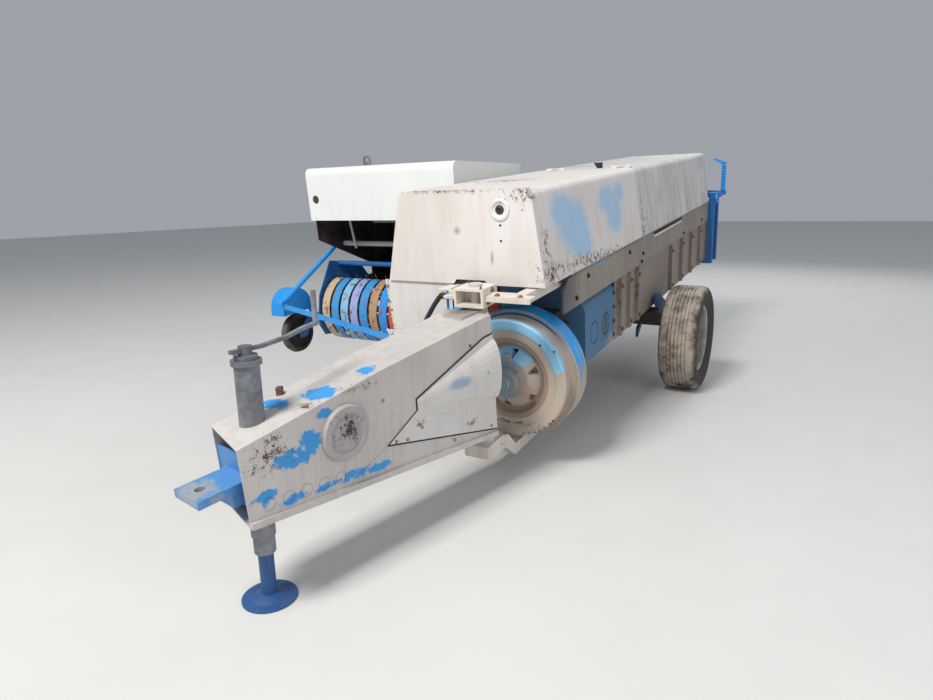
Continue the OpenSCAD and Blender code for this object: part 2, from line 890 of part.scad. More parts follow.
// Sheet box, cut off askew at its front end
module bar_sheets() {
    difference() {
        side_plate(-bar_w / 2, bar_w, bar_outside);
        side_plate(-bar_w / 2 + bar_t, bar_w - 2 * bar_t, bar_inside);
        translate([bar_w / 2, -bar_len, bar_front_low - 50])
            rotate([0, 0, -atan(front_skew / bar_w)])
                translate([-2 * bar_w, -200, 0])
                    cube([2 * bar_w, 200, 500]);
        for (i = [0 : 4])
            translate([bar_w / 2 - 2, -bar_len + 72 + i * 67.5, bar_front_low + 53 - i * 8.75])
                rotate([0, 90, 0])
                    stamped_ring(24, 18);
    }
}

module stamped_ring(outside, inside) {
    difference() {
        cylinder(r = outside, h = 6);
        translate([0, 0, -1])
            cylinder(r = inside, h = 8);
    }
}

// Lug with its collar and pin: between two heights, the collar's end and the pin's end
module bar_lug(low, high, collar_end, pin_end) {
    translate([-collar_r, -160, low])
        cube([2 * collar_r, 160, high - low]);
    translate([0, 0, min(low, collar_end)])
        cylinder(r = collar_r, h = max(high, collar_end) - min(low, collar_end));
    translate([0, 0, min(low, pin_end)])
        cylinder(r = pin_r, h = max(high, pin_end) - min(low, pin_end));
}

module jack_bore(extra) {
    floor_frame()
        translate([jack_x, jack_y, 0])
            cylinder(r = jack_tube_r + extra, h = 1400, $fn = 48);
}

module drawbar_box() {
    color("lightgray")
        difference() {
            drawbar() {
                bar_sheets();
                // Stiffening strip along the lower edge
                side_plate(bar_w / 2 - 2, 12, [
                    [bar_rear, bar_rear_low], [bar_rear, bar_rear_low + 22],
                    [-bar_len, bar_front_low + 22], [-bar_len, bar_front_low]]);
                bar_lug(bar_rear_high - 14, bar_rear_high + 6, block_low - face_gap, block_high + 12);
                bar_lug(bar_rear_low - 4, bar_rear_low + 18, arm_seat + face_gap, arm_seat - 90);
                translate([0, 0, block_high + face_gap])
                    cylinder(r = 30, h = 11);
            }
            jack_bore(0.4);
        }
}

// Rear side cover, with the flat half cone that guards the drive shaft
cover_t = 4;
cover_corner = [-514, 774];
cone_z = 755;
cone_half = 133;
cone_bulge = 45;

// Half of an ellipse as points, bulging along X
function half_ellipse(out, half, n = 12) =
    [for (i = [0 : n]) [out * sin(180 * i / n), -half * cos(180 * i / n)]];

module shaft_cone(t) {
    hull() {
        translate([0, bar_rear + (t > 0 ? 1 : 0), cone_z])
            rotate([90, 0, 0])
                linear_extrude(1)
                    polygon(half_ellipse(cone_bulge - t, cone_half - t));
        translate([0, cover_corner[0] + 4 * t, cone_z + 8])
            rotate([90, 0, 0])
                linear_extrude(1)
                    polygon(half_ellipse(5 - t, 11 - t));
    }
}

module drawbar_cover() {
    color("whitesmoke")
        drawbar()
            translate([bar_w / 2 + face_gap, 0, 0])
                difference() {
                    union() {
                        side_plate(0, cover_t, [
                            [bar_rear, 481], [bar_rear, 905], [bar_rear - 56, 901], cover_corner,
                            [cover_corner[0], cover_corner[1] - 41], [-671, 655]]);
                        shaft_cone(0);
                        // Pressed bead
                        bar_bead([cover_corner[0] + 25, 690], [-330, 650]);
                    }
                    shaft_cone(cover_t);
                }
}

// Half-round bead between two places on the cover
module bar_bead(a, b) {
    rod([cover_t, a[0], a[1]], [cover_t, b[0], b[1]], cover_t - 0.1);
}

// Round pressed cover on the drawbar's side
module round_cover() {
    color("lightgray")
        drawbar()
            translate([bar_w / 2 + face_gap, -856, 776])
                rotate([0, 90, 0])
                    rotate_extrude($fn = 64)
                        polygon([[0, 0], [98, 0], [98, 8], [92, 16], [72, 16], [66, 9], [58, 9], [50, 14], [0, 17]]);
}

module hitch_plate() {
    plate_y = -bar_len + front_skew + 3;
    color("steelblue")
        drawbar() {
            difference() {
                translate([-hitch_w / 2, -bar_len - hitch_reach, hitch_low])
                    cube([hitch_w, hitch_reach + front_skew + 8, hitch_t]);
                translate([0, -bar_len - hitch_reach + 45, 0])
                    cylinder(r = 16, h = 1000);
            }
            translate([-bar_w / 2 + bar_t + face_gap, plate_y, bar_front_low + bar_t + 12])
                cube([bar_w - 2 * bar_t - 2 * face_gap, 8, 180]);
            translate([-60, -bar_len - 12, bar_front_low + 60])
                cube([120, front_skew + 16, 51]);
        }
}

module jack_tube() {
    sleeve_low = 172;
    color("gray")
        floor_frame()
            translate([jack_x, jack_y, 0])
                difference() {
                    union() {
                        translate([0, 0, sleeve_low])
                            cylinder(r = jack_tube_r - 4, h = 80);
                        translate([0, 0, sleeve_low + 60])
                            cylinder(r = jack_tube_r, h = jack_high - sleeve_low - 60);
                        translate([0, 0, jack_high])
                            cylinder(r = jack_collar_r, h = 16);
                    }
                    translate([0, 0, sleeve_low - 1])
                        cylinder(r = leg_r + leg_slack, h = jack_high - sleeve_low - 10);
                }
}

// Crank on top of the jack: its bent arm is a row of links, out and up from the head
crank_links = [[-52, 24], [60, 24], [150, 34], [225, 52], [290, 60]];

module jack_crank() {
    arm_h = 11;
    color("gray")
        floor_frame()
            translate([jack_x, jack_y, jack_high + 16 + face_gap])
                rotate([0, 0, 84]) {
                    cylinder(r = 36, h = 14);
                    cylinder(r = 21, h = 42);
                    for (i = [1 : len(crank_links) - 1])
                        translate([0, 9, 0])
                            rotate([90, 0, 0])
                                linear_extrude(18)
                                    polygon([crank_links[i - 1], crank_links[i],
                                        crank_links[i] + [0, arm_h], crank_links[i - 1] + [0, arm_h]]);
                    translate([278, 0, 62])
                        cylinder(r = 9, h = 115);
                }
}

module jack_leg() {
    color("darkblue")
        floor_frame()
            translate([jack_x, jack_y, 0]) {
                cylinder(r = foot_r, h = 8);
                translate([0, 0, 8])
                    cylinder(r1 = 60, r2 = leg_r, h = 14, $fn = 32);
                translate([0, 0, 4])
                    cylinder(r = leg_r, h = 420);
            }
}

// Section of a tyre: outside radius, bead radius, width, drawn about the wheel's axis
module tyre_body(od, bead_r, w, grooves) {
    r = od / 2;
    rotate([0, 90, 0])
        rotate_extrude($fn = 72)
            difference() {
                polygon([
                    [bead_r, -w * 0.325], [bead_r + (r - bead_r) * 0.45, -w * 0.5], [r - 26, -w * 0.485],
                    [r - 7, -w * 0.43], [r, -w * 0.33], [r, w * 0.33], [r - 7, w * 0.43],
                    [r - 26, w * 0.485], [bead_r + (r - bead_r) * 0.45, w * 0.5], [bead_r, w * 0.325]]);
                for (i = [0 : grooves - 1])
                    translate([r - 5, -w * 0.3 + i * w * 0.6 / (grooves - 1) - 2.5])
                        square([8, 5]);
            }
}

// Deep rim: barrel with flanges, dished centre and hub
module rim_body(flange_r, w, dish_x, hub_r, hub_len, out) {
    rotate([0, 90, 0])
        rotate_extrude($fn = 72)
            polygon([
                [flange_r - 14, -w * 0.37], [flange_r, -w * 0.37 - 4], [flange_r, -w * 0.37],
                [flange_r - 11, -w * 0.33], [flange_r - 11, w * 0.33], [flange_r, w * 0.37],
                [flange_r, w * 0.37 + 4], [flange_r - 14, w * 0.37], [flange_r - 17, w * 0.3],
                [flange_r - 17, -w * 0.3]]);
    rotate([0, 90, 0])
        rotate_extrude($fn = 48)
            polygon([
                [axle_r + shaft_slack, dish_x - 3], [110, dish_x - 3], [flange_r - 16, dish_x + out * 26 - 3],
                [flange_r - 16, dish_x + out * 26 + 3], [110, dish_x + 3], [hub_r, dish_x + 3],
                [hub_r, dish_x + hub_len], [axle_r + shaft_slack, dish_x + hub_len]]);
    for (a = [0 : 60 : 300])
        rotate([a, 0, 0])
            translate([dish_x, 0, 88])
                rotate([0, 90, 0])
                    cylinder(r = 10, h = 16, $fn = 6);
}

module left_wheel_place() {
    floor_frame()
        translate([left_wheel_x, 0, axle_z])
            children();
}

module right_wheel_place() {
    floor_frame()
        translate([-right_wheel_x, 0, right_axle_z])
            children();
}

module left_rim() {
    color("silver")
        left_wheel_place()
            rim_body(left_flange_r, left_tyre_w, -30, 60, 70, -1);
}

module left_tyre() {
    color("dimgray")
        left_wheel_place()
            tyre_body(left_tyre_od, left_flange_r - 11 + face_gap, left_tyre_w, 5);
}

module right_rim() {
    color("silver")
        right_wheel_place()
            mirror([1, 0, 0])
                rim_body(right_flange_r, right_tyre_w, -10, 55, 50, -1);
}

module right_tyre() {
    color("dimgray")
        right_wheel_place()
            tyre_body(right_tyre_od, right_flange_r - 11 + face_gap, right_tyre_w, 4);
}

// Pickup: side plates, the bars between them that the bands end on, and the gauge wheel's arm
module pickup_frame() {
    color("midnightblue")
        chassis() {
            for (x = [reel_right, pickup_inner])
                difference() {
                    side_plate(x, side_t, [
                        [-reel_y - 240, reel_z - 60], [-reel_y - 190, reel_z - 150], [-reel_y + 80, reel_z - 200],
                        [-705, reel_z - 150], [-690, reel_z - 100], [-672, lift_z - 40],
                        [-672, lift_z + 40], [-760, lift_z + 150],
                        [-reel_y - 60, lift_z + 210], [-reel_y - 200, reel_z + 120]]);
                    translate([x - 1, -reel_y, reel_z])
                        rotate([0, 90, 0])
                            cylinder(r = reel_shaft_r + shaft_slack, h = side_t + 2);
                    translate([x - 1, lift_y, lift_z])
                        rotate([0, 90, 0])
                            cylinder(r = lift_pin_r + pin_slack, h = side_t + 2);
                }
            bar_x(16, reel_right + side_t, pickup_inner, -reel_y + 30, lift_z + 180);
            bar_x(20, gauge_arm_x, reel_right, -reel_y - 180, reel_z - 20);
            side_plate(gauge_arm_x, 12, [
                [-reel_y - 205, reel_z + 15], [-reel_y - 150, reel_z + 15], [-gauge_y + 24, gauge_z - 30],
                [-gauge_y - 24, gauge_z - 26], [-gauge_y - 20, gauge_z + 26]]);
            bar_x(gauge_axle_r, gauge_x - 32, gauge_arm_x + 4, -gauge_y, gauge_z);
        }
}

// Each band runs forwards below the reel, round its front and back over it to the feeder
band_t = 5;
band_end = 290;
band_bar_r = 12;
band_mid_r = band_r - band_t / 2;
band_back = -reel_y + 262;
reel_shaft_r = 22;
gauge_axle_r = 14;

function band_tail_at(r) = [
    -reel_y + r * cos(band_end) - band_tail * sin(band_end),
    reel_z + r * sin(band_end) + band_tail * cos(band_end)];

module pickup_bands() {
    color("deepskyblue")
        chassis() {
            for (i = [0 : band_n - 1])
                side_plate(bands_left + i * band_pitch, band_w, concat(
                    [band_tail_at(band_r)],
                    arc([-reel_y, reel_z], band_r, band_end, 100, 20),
                    [[band_back, reel_z + 128], [band_back, reel_z + 128 - band_t]],
                    arc([-reel_y, reel_z], band_r - band_t, 100, band_end, 20),
                    [band_tail_at(band_r - band_t)]));
            // Bars that the bands are bolted to, from side plate to side plate
            for (bar = [band_tail_at(band_mid_r), [band_back, reel_z + 125.5]])
                bar_x(band_bar_r, reel_right + side_t + face_gap, pickup_inner - face_gap, bar[0], bar[1]);
        }
}

module pickup_reel() {
    bar_r = 12;
    bars_at = 120;
    color("rosybrown")
        chassis()
            translate([0, -reel_y, reel_z]) {
                bar_x(reel_shaft_r, reel_right - 20, pickup_inner + side_t + 20, 0, 0);
                for (x = [reel_right + side_t + 10, pickup_inner - 8.5])
                    bar_x(bars_at + 20, x - 1.5, x + 1.5, 0, 0);
                for (a = [0 : 90 : 270])
                    rotate([a + 20, 0, 0]) {
                        bar_x(bar_r, reel_right + side_t + 9, pickup_inner - 8, 0, bars_at);
                        for (i = [0 : band_n - 2])
                            translate([bands_left + i * band_pitch + (band_w + band_pitch) / 2, 0, bars_at])
                                cylinder(d = tine_d, h = tine_reach - bars_at, $fn = 6);
                    }
            }
}

module guard_bow() {
    color("deepskyblue")
        chassis() {
            rod([bow_x, bow_top[0], bow_top[1]], [bow_x, bow_tip[0], bow_tip[1]], bow_r - 2);
            bar_x(bow_r, bow_x + 5, feeder_in - face_gap, bow_top[0], bow_top[1]);
            // Welded knuckles at the two bends
            for (p = [bow_top, bow_tip])
                translate([bow_x - bow_r - 3, p[0], p[1]])
                    rotate([0, 90, 0])
                        cylinder(r = bow_r + 4, h = 2 * bow_r + 6);
            // Flat bar from the bow's tip to the front panel, bent flat against it
            difference() {
                translate([bow_x - 4, bow_tip[0] + 3, bow_tip[1] - 32])
                    rotate([0, 0, bow_bar_angle])
                        cube([1191, 8, 30]);
                translate([-592, -panel_y - face_gap, 700])
                    cube([60, 60, 200]);
            }
            translate([-600, -panel_y - face_gap - 8, bow_tip[1] - 33])
                cube([100, 8, 32]);
        }
}

// Rounded shield over the gauge wheel, held by a tab on its arm
module pickup_shield() {
    shield_in = gauge_arm_x + 14 + face_gap;
    low = gauge_z + 150;
    outline_r = 128;
    color("deepskyblue")
        chassis() {
            difference() {
                side_plate(shield_x, shield_in - shield_x, concat(
                    arc([-gauge_y - 20, low + 30], outline_r, 20, 165, 10),
                    [[-gauge_y - 150, low], [-gauge_y + 100, low]]));
                side_plate(shield_x + sheet_t, shield_in - shield_x - 2 * sheet_t, concat(
                    arc([-gauge_y - 20, low + 30], outline_r - sheet_t, 20, 165, 10),
                    [[-gauge_y - 144, low - 1], [-gauge_y + 96, low - 1]]));
            }
            side_plate(gauge_arm_x + 12 + face_gap, 5, [
                [-reel_y - 215, reel_z - 5], [-reel_y - 204, reel_z - 45],
                [-gauge_y + 90, low + 70], [-gauge_y + 20, low + 70]]);
        }
}

module gauge_wheel() {
    color("dimgray")
        chassis()
            translate([gauge_x, -gauge_y, gauge_z])
                rotate([0, 90, 0])
                    rotate_extrude($fn = 48)
                        polygon([[gauge_axle_r + shaft_slack, -28], [60, -28], [70, -16], [98, -16], [105, -26], [125, -22],
                            [132, 0], [125, 22], [105, 26], [98, 16], [70, 16], [60, 28], [gauge_axle_r + shaft_slack, 28]]);
}

chamber_left();
chamber_right();
chamber_floor();
chamber_top();
left_rail();
right_rail();
plunger_box();
gearbox();
front_frame();
pivot_arm();
front_panel();
main_axle();
rear_hood();
feeder_hood();
feeder_box();
packer();
knotter_stack();
needle_frame();
density_frame();
density_springs();
twine_box();
lifting_eye();
hydraulic_hose();
front_hood();
twine_lid();
flywheel();
clutch_hub();
drawbar_box();
drawbar_cover();
round_cover();
hitch_plate();
jack_tube();
jack_crank();
jack_leg();
left_rim();
left_tyre();
right_rim();
right_tyre();
pickup_frame();
pickup_bands();
guard_bow();
pickup_shield();
pickup_reel();
gauge_wheel();
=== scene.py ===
# %% [markdown]
# # A weathered square baler
# The CAD model holds the whole machine: chamber, hoods, flywheel, drawbar, pickup and
# wheels. This lesson gives it the look of an old machine that was painted blue in the
# works, brushed over in light grey by an owner, and left outdoors ever since. Sheets
# get worn paint, tyres get their tread, and small fittings are modelled on top.

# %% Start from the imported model
import json
import math

import bpy
from mathutils import Matrix, Vector

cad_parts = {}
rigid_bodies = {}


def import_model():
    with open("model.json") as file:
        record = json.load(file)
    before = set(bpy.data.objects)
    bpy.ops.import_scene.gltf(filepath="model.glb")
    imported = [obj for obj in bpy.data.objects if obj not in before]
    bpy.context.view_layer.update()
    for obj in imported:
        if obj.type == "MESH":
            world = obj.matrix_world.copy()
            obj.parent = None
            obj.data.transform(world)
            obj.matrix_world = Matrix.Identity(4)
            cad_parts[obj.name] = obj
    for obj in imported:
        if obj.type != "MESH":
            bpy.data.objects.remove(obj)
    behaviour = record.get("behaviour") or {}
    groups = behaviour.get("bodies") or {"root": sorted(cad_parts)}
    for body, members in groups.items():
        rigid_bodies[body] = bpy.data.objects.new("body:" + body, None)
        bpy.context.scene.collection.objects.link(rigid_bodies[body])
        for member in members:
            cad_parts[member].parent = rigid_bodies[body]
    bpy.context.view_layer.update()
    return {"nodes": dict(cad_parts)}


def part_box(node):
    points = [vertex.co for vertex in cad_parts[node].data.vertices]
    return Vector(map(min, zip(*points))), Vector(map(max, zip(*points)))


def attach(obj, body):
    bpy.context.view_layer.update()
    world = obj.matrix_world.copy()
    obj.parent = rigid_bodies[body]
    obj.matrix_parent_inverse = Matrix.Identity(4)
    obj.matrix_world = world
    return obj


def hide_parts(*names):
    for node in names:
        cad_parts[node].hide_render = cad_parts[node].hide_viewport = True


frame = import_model()
print("CAD nodes:", len(frame["nodes"]))

# %% [markdown]
# ## Places on the machine
# The machine leans nose-down on its jack, so a place on it is easiest to give in the
# machine's own level lines, in millimetres: X to its left from the chamber's middle,
# Y back from the axle, Z up from its ground line. One matrix turns such a place into
# the frame's metres, and a second one does the same for the swung drawbar. The wheels
# stand on the floor, so for them a third one only moves the origin.

# %% Turn machine places into the frame
NOSE_DOWN = math.radians(5)
DRAWBAR_YAW = math.radians(10)
AXLE_HIGH = 0.345
ORIGIN = Vector((-0.63375, -0.659823, 0))
PIVOT = Vector((-0.020, -1.970, 0))

machine = (
    Matrix.Translation(-ORIGIN + Vector((0, 0, AXLE_HIGH)))
    @ Matrix.Rotation(NOSE_DOWN, 4, "X")
    @ Matrix.Translation((0, 0, -AXLE_HIGH))
)
bar = machine @ Matrix.Translation(PIVOT) @ Matrix.Rotation(-DRAWBAR_YAW, 4, "Z")
upright = Matrix.Translation(-ORIGIN)


def place(x, y, z, on=machine):
    """A place in millimetres on the machine, as metres in the frame."""
    return on @ (Vector((x, y, z)) / 1000)


print("hood's nose at", [round(c, 3) for c in place(0, -1860, 1480)])

# %% [markdown]
# ## The camera
# The camera stands where the picture was taken: 1.3 m above the floor, ahead of the
# machine and to its left, looking back and across it. Its heading, pitch and roll were
# solved from the horizon, the hoods' level edges and the floor under wheel and jack.

# %% Camera at the picture's view
HEADING, PITCH, ROLL = (math.radians(a) for a in (30.45, 13.19, 1.2))
CAMERA_AT = Vector((1.3197, -4.3896, 1.273)) - ORIGIN
PICTURE_WIDE = 933
FOCAL_PIXELS = 640.4
SENSOR = 36

ahead = Vector((-math.sin(HEADING), math.cos(HEADING), 0))
across = Vector((math.cos(HEADING), math.sin(HEADING), 0))
upward = Vector((0, 0, 1))
look = ahead * math.cos(PITCH) - upward * math.sin(PITCH)
below = -upward * math.cos(PITCH) - ahead * math.sin(PITCH)
right_edge = across * math.cos(ROLL) + below * math.sin(ROLL)
low_edge = below * math.cos(ROLL) - across * math.sin(ROLL)

camera_data = bpy.data.cameras.new("picture_camera")
camera_data.sensor_width = SENSOR
camera_data.lens = SENSOR * FOCAL_PIXELS / PICTURE_WIDE
camera = bpy.data.objects.new("picture_camera", camera_data)
bpy.context.collection.objects.link(camera)
turned_view = Matrix((right_edge, -low_edge, -look)).transposed().to_4x4()
camera.matrix_world = Matrix.Translation(CAMERA_AT) @ turned_view
bpy.context.scene.camera = camera
print("lens", round(camera_data.lens, 2), "mm")

# %% [markdown]
# ## Floor and light
# A pale studio floor stands in for the yard. One large soft lamp high before the
# machine does the work of the sun, so fronts and tops are bright and the left side
# lies in soft shade, as in the picture. Weaker lamps fill from the left and the back,
# and a slightly blue world stands for the sky.


# %% Colour and node helpers
def linear(code):
    """An sRGB hex colour as the linear numbers that shaders take."""
    shares = [int(code[i : i + 2], 16) / 255 for i in (1, 3, 5)]
    return [s / 12.92 if s <= 0.04045 else ((s + 0.055) / 1.055) ** 2.4 for s in shares] + [1.0]


def add(tree, kind, inputs=None, **settings):
    """A shader node. An input takes a value, a socket, or a node for its first output in use."""
    made = tree.nodes.new("ShaderNode" + kind)
    for name, value in settings.items():
        setattr(made, name, value)
    for name, value in (inputs or {}).items():
        if isinstance(value, bpy.types.Node):
            value = next(output for output in value.outputs if output.enabled)
        if isinstance(value, bpy.types.NodeSocket):
            tree.links.new(value, made.inputs[name])
        else:
            made.inputs[name].default_value = value
    return made


# %% Start and end of a material
def new_material(name):
    """A material with an empty tree, and the place in the frame that its patterns follow."""
    material = bpy.data.materials.new(name)
    material.use_nodes = True
    tree = material.node_tree
    tree.nodes.clear()
    return material, tree, add(tree, "TexCoord").outputs["Object"]


def surface(tree, colour, rough, height=None, strength=0.5, deep=0.001, metallic=0.0):
    """The shader and its output, with bumps that reach so many metres deep."""
    inputs = {"Base Color": colour, "Roughness": rough, "Metallic": metallic}
    if height is not None:
        shape = {"Height": height, "Strength": strength, "Distance": deep}
        inputs["Normal"] = add(tree, "Bump", shape)
    add(tree, "OutputMaterial", {"Surface": add(tree, "BsdfPrincipled", inputs)})


# %% Floor
def studio_floor():
    """A pale matt floor with clouds some 330 mm wide."""
    material, tree, where = new_material("pale_studio_floor")
    grain = add(tree, "TexNoise", {"Vector": where, "Scale": 3.0, "Detail": 3.0})
    shades = {0: grain, 6: linear("#cbcbc9"), 7: linear("#d2d2d0")}
    surface(tree, add(tree, "Mix", shades, data_type="RGBA"), 0.9)
    return material


bpy.ops.object.select_all(action="DESELECT")
bpy.ops.mesh.primitive_plane_add(size=60, location=(0, 0, -0.001))
floor = bpy.context.object
floor.name = "floor"
floor.data.materials.append(studio_floor())
print("floor", round(floor.dimensions.x), "m wide")

# %% Lamps and world
world = bpy.data.worlds.new("studio")
bpy.context.scene.world = world
world.use_nodes = True
world.node_tree.nodes["Background"].inputs["Color"].default_value = linear("#e9eff8")
world.node_tree.nodes["Background"].inputs["Strength"].default_value = 0.42

# Name, place, aim, size in metres, watts, colour
LAMPS = (
    ("sun_side", (-0.3, -6.8, 7.6), (0, -0.5, 0.5), 2.2, 840, "#fffbf6"),
    ("fill_side", (7.0, -3.5, 3.2), (0, -0.5, 0.6), 5.0, 130, "#f4f4f6"),
    ("back_side", (1.0, 7.0, 5.0), (0, 0, 0.6), 5.0, 160, "#ffffff"),
)
for name, stand, aim, wide, watts, tint in LAMPS:
    data = bpy.data.lights.new(name, "AREA")
    data.size = wide
    data.energy = watts
    data.color = linear(tint)[:3]
    lamp = bpy.data.objects.new(name, data)
    bpy.context.collection.objects.link(lamp)
    turn = (Vector(stand) - Vector(aim)).to_track_quat("Z", "Y").to_matrix().to_4x4()
    lamp.matrix_world = Matrix.Translation(stand) @ turn

bpy.context.scene.view_settings.view_transform = "Standard"
print("lamps:", len(LAMPS))

# %% [markdown]
# ## Worn paint
# The machine's sheets are mild steel. They were sprayed blue in the works and later
# brushed over in light grey, so wear shows blue first and rust last. The finish is
# built in that order: the top coat with slow changes of tone and dark streaks, which
# are rain streaks and, on the rear hood, partly painted shadow of leaves, places where
# another coat comes through, stains, specks of rust that gather near cut edges, then
# road dust that thickens towards the ground. Brushed paint on outdoor sheet is dull,
# so its roughness lies near 0.6, and rust is rougher still.

# %% Sizes of the patterns
# A scale counts per metre, so 1000 / scale is a pattern's size in millimetres:
# 385 for clouds, 111 for dents, 45 for tears, 26 for blotches, 11 for chips, 5 for specks
CLOUDS, DENTS, TEARS, BLOTCHES, CHIPS, SPECKS = 2.6, 9.0, 22.0, 38.0, 95.0, 210.0
# Streaks lie 38 mm apart and are some 450 mm tall
STREAKS = (26, 26, 2.2)
print("smallest pattern", round(1000 / SPECKS, 1), "mm")


# %% Places that a finish changes at
def spot(x, y, z, rx, ry, rz, on=machine):
    """A soft spot: its middle on the machine and its reach each way, all in millimetres."""
    return tuple(place(x, y, z, on)), (rx / 1000, ry / 1000, rz / 1000)


def distance(tree, where, centre, shares):
    """How far a point is from a centre, with each direction times its share."""
    apart = add(tree, "VectorMath", {0: where, 1: centre}, operation="SUBTRACT")
    scaled = add(tree, "VectorMath", {0: apart, 1: shares}, operation="MULTIPLY")
    return add(tree, "VectorMath", {0: scaled}, operation="LENGTH")


def near(tree, where, spots, softness=0.5):
    """How near a point is to any of some spots: 1 inside, 0 outside."""
    nearest = None
    for centre, reach in spots:
        far = distance(tree, where, centre, [1 / r for r in reach])
        edge = {"Value": far, "From Min": 1 + softness, "From Max": 1 - softness}
        inside = add(tree, "MapRange", edge)
        if nearest is None:
            nearest = inside
        else:
            nearest = add(tree, "Math", {0: nearest, 1: inside}, operation="MAXIMUM")
    return nearest


# %% A coat's own tone
def coat_tone(tree, where, light, dark, streaks):
    """A brushed coat: slow clouds, and dark streaks that run down the sheet: rain streaks, and on
    the rear hood partly painted shadow of leaves.
    """
    soft = {"Vector": where, "Scale": CLOUDS, "Detail": 4.0, "Roughness": 0.6}
    cloud = add(tree, "TexNoise", soft)
    tall = add(tree, "Mapping", {"Vector": where, "Scale": STREAKS})
    rain = add(tree, "TexNoise", {"Vector": tall, "Scale": 1.0, "Detail": 3.0})
    wet = {"Value": rain, "From Min": 0.45, "From Max": 0.75, "To Max": streaks}
    run = add(tree, "MapRange", wet)
    tone = add(tree, "Math", {0: cloud, 1: run}, operation="ADD", use_clamp=True)
    spread = add(tree, "MapRange", {"Value": tone, "From Min": 0.38, "From Max": 1.0})
    return add(tree, "Mix", {0: spread, 6: linear(light), 7: linear(dark)}, data_type="RGBA")


# %% Wear through the coat
def worn_share(tree, where, patches, wear, torn):
    """Where the coat below shows, in patches and chips, and the noise that tears the patches."""
    rough_edge = {"Vector": where, "Scale": TEARS, "Detail": 8.0, "Roughness": 0.72}
    ragged = add(tree, "TexNoise", rough_edge)
    small = {"Vector": where, "Scale": CHIPS, "Detail": 5.0, "Roughness": 0.7}
    fine = add(tree, "TexNoise", small)
    if patches:
        worn = near(tree, where, patches)
    else:
        soft = {"Vector": where, "Scale": CLOUDS, "Detail": 4.0, "Roughness": 0.6}
        cloud = add(tree, "TexNoise", soft)
        high = {"Value": cloud, "From Min": 0.62, "From Max": 0.8, "To Max": 0.4}
        worn = add(tree, "MapRange", high)
    shift = add(tree, "Math", {0: ragged, 1: 0.52}, operation="SUBTRACT")
    tear = add(tree, "Math", {0: shift, 1: torn}, operation="MULTIPLY")
    reach = add(tree, "Math", {0: worn, 1: tear}, operation="ADD")
    edge = 0.45 / (1 + torn)
    low, high = 1 - wear - edge, 1 - wear + edge
    bite = add(tree, "MapRange", {"Value": reach, "From Min": low, "From Max": high})
    chip = add(tree, "MapRange", {"Value": fine, "From Min": 0.70, "From Max": 0.73})
    return add(tree, "Math", {0: bite, 1: chip}, operation="MAXIMUM"), ragged


# %% Rust specks
# Noise above a level is rust. More rust lowers the level, and a rusty place lifts the noise
RUST_LEVEL, RUST_STEP, RUST_LIFT = 0.635, 0.035, 0.14


def rust_share(tree, where, rusty, rust):
    """Specks of rust a few millimetres wide, many near rusty places and few elsewhere."""
    tiny = {"Vector": where, "Scale": SPECKS, "Detail": 5.0, "Roughness": 0.75}
    wide = {"Vector": where, "Scale": BLOTCHES, "Detail": 5.0, "Roughness": 0.7}
    both = {0: add(tree, "TexNoise", tiny), 1: add(tree, "TexNoise", wide)}
    total = add(tree, "Math", both, operation="ADD")
    speck = add(tree, "Math", {0: total, 1: 0.5}, operation="MULTIPLY")
    if rusty:
        crowd = near(tree, where, rusty, 0.9)
        lift = add(tree, "Math", {0: crowd, 1: RUST_LIFT}, operation="MULTIPLY")
        speck = add(tree, "Math", {0: speck, 1: lift}, operation="ADD")
    level = RUST_LEVEL - RUST_STEP * rust
    rise = {"Value": speck, "From Min": level, "From Max": level + RUST_STEP}
    return add(tree, "MapRange", rise)


# %% Dust
# Heights in metres where dust begins and is thickest, and how far up a dusty face looks
DUST_HIGH, DUST_LOW, LEVEL_FACE = 1.1, 0.1, 0.75


def dust_share(tree, where, dust):
    """Dust that thickens towards the ground and lies on faces that look up."""
    high = add(tree, "SeparateXYZ", {0: where}).outputs["Z"]
    fall = {"Value": high, "From Min": DUST_HIGH, "From Max": DUST_LOW, "To Max": dust}
    facing = add(tree, "SeparateXYZ", {0: add(tree, "NewGeometry").outputs["Normal"]}).outputs["Z"]
    lie = {"Value": facing, "From Min": LEVEL_FACE, "From Max": 1.0, "To Max": dust * 0.7}
    both = {0: add(tree, "MapRange", fall), 1: add(tree, "MapRange", lie)}
    return add(tree, "Math", both, operation="MAXIMUM")


# %% The finish that all painted sheets share
STAIN_SHARE = 0.9
RUST_ROUGH = 0.9


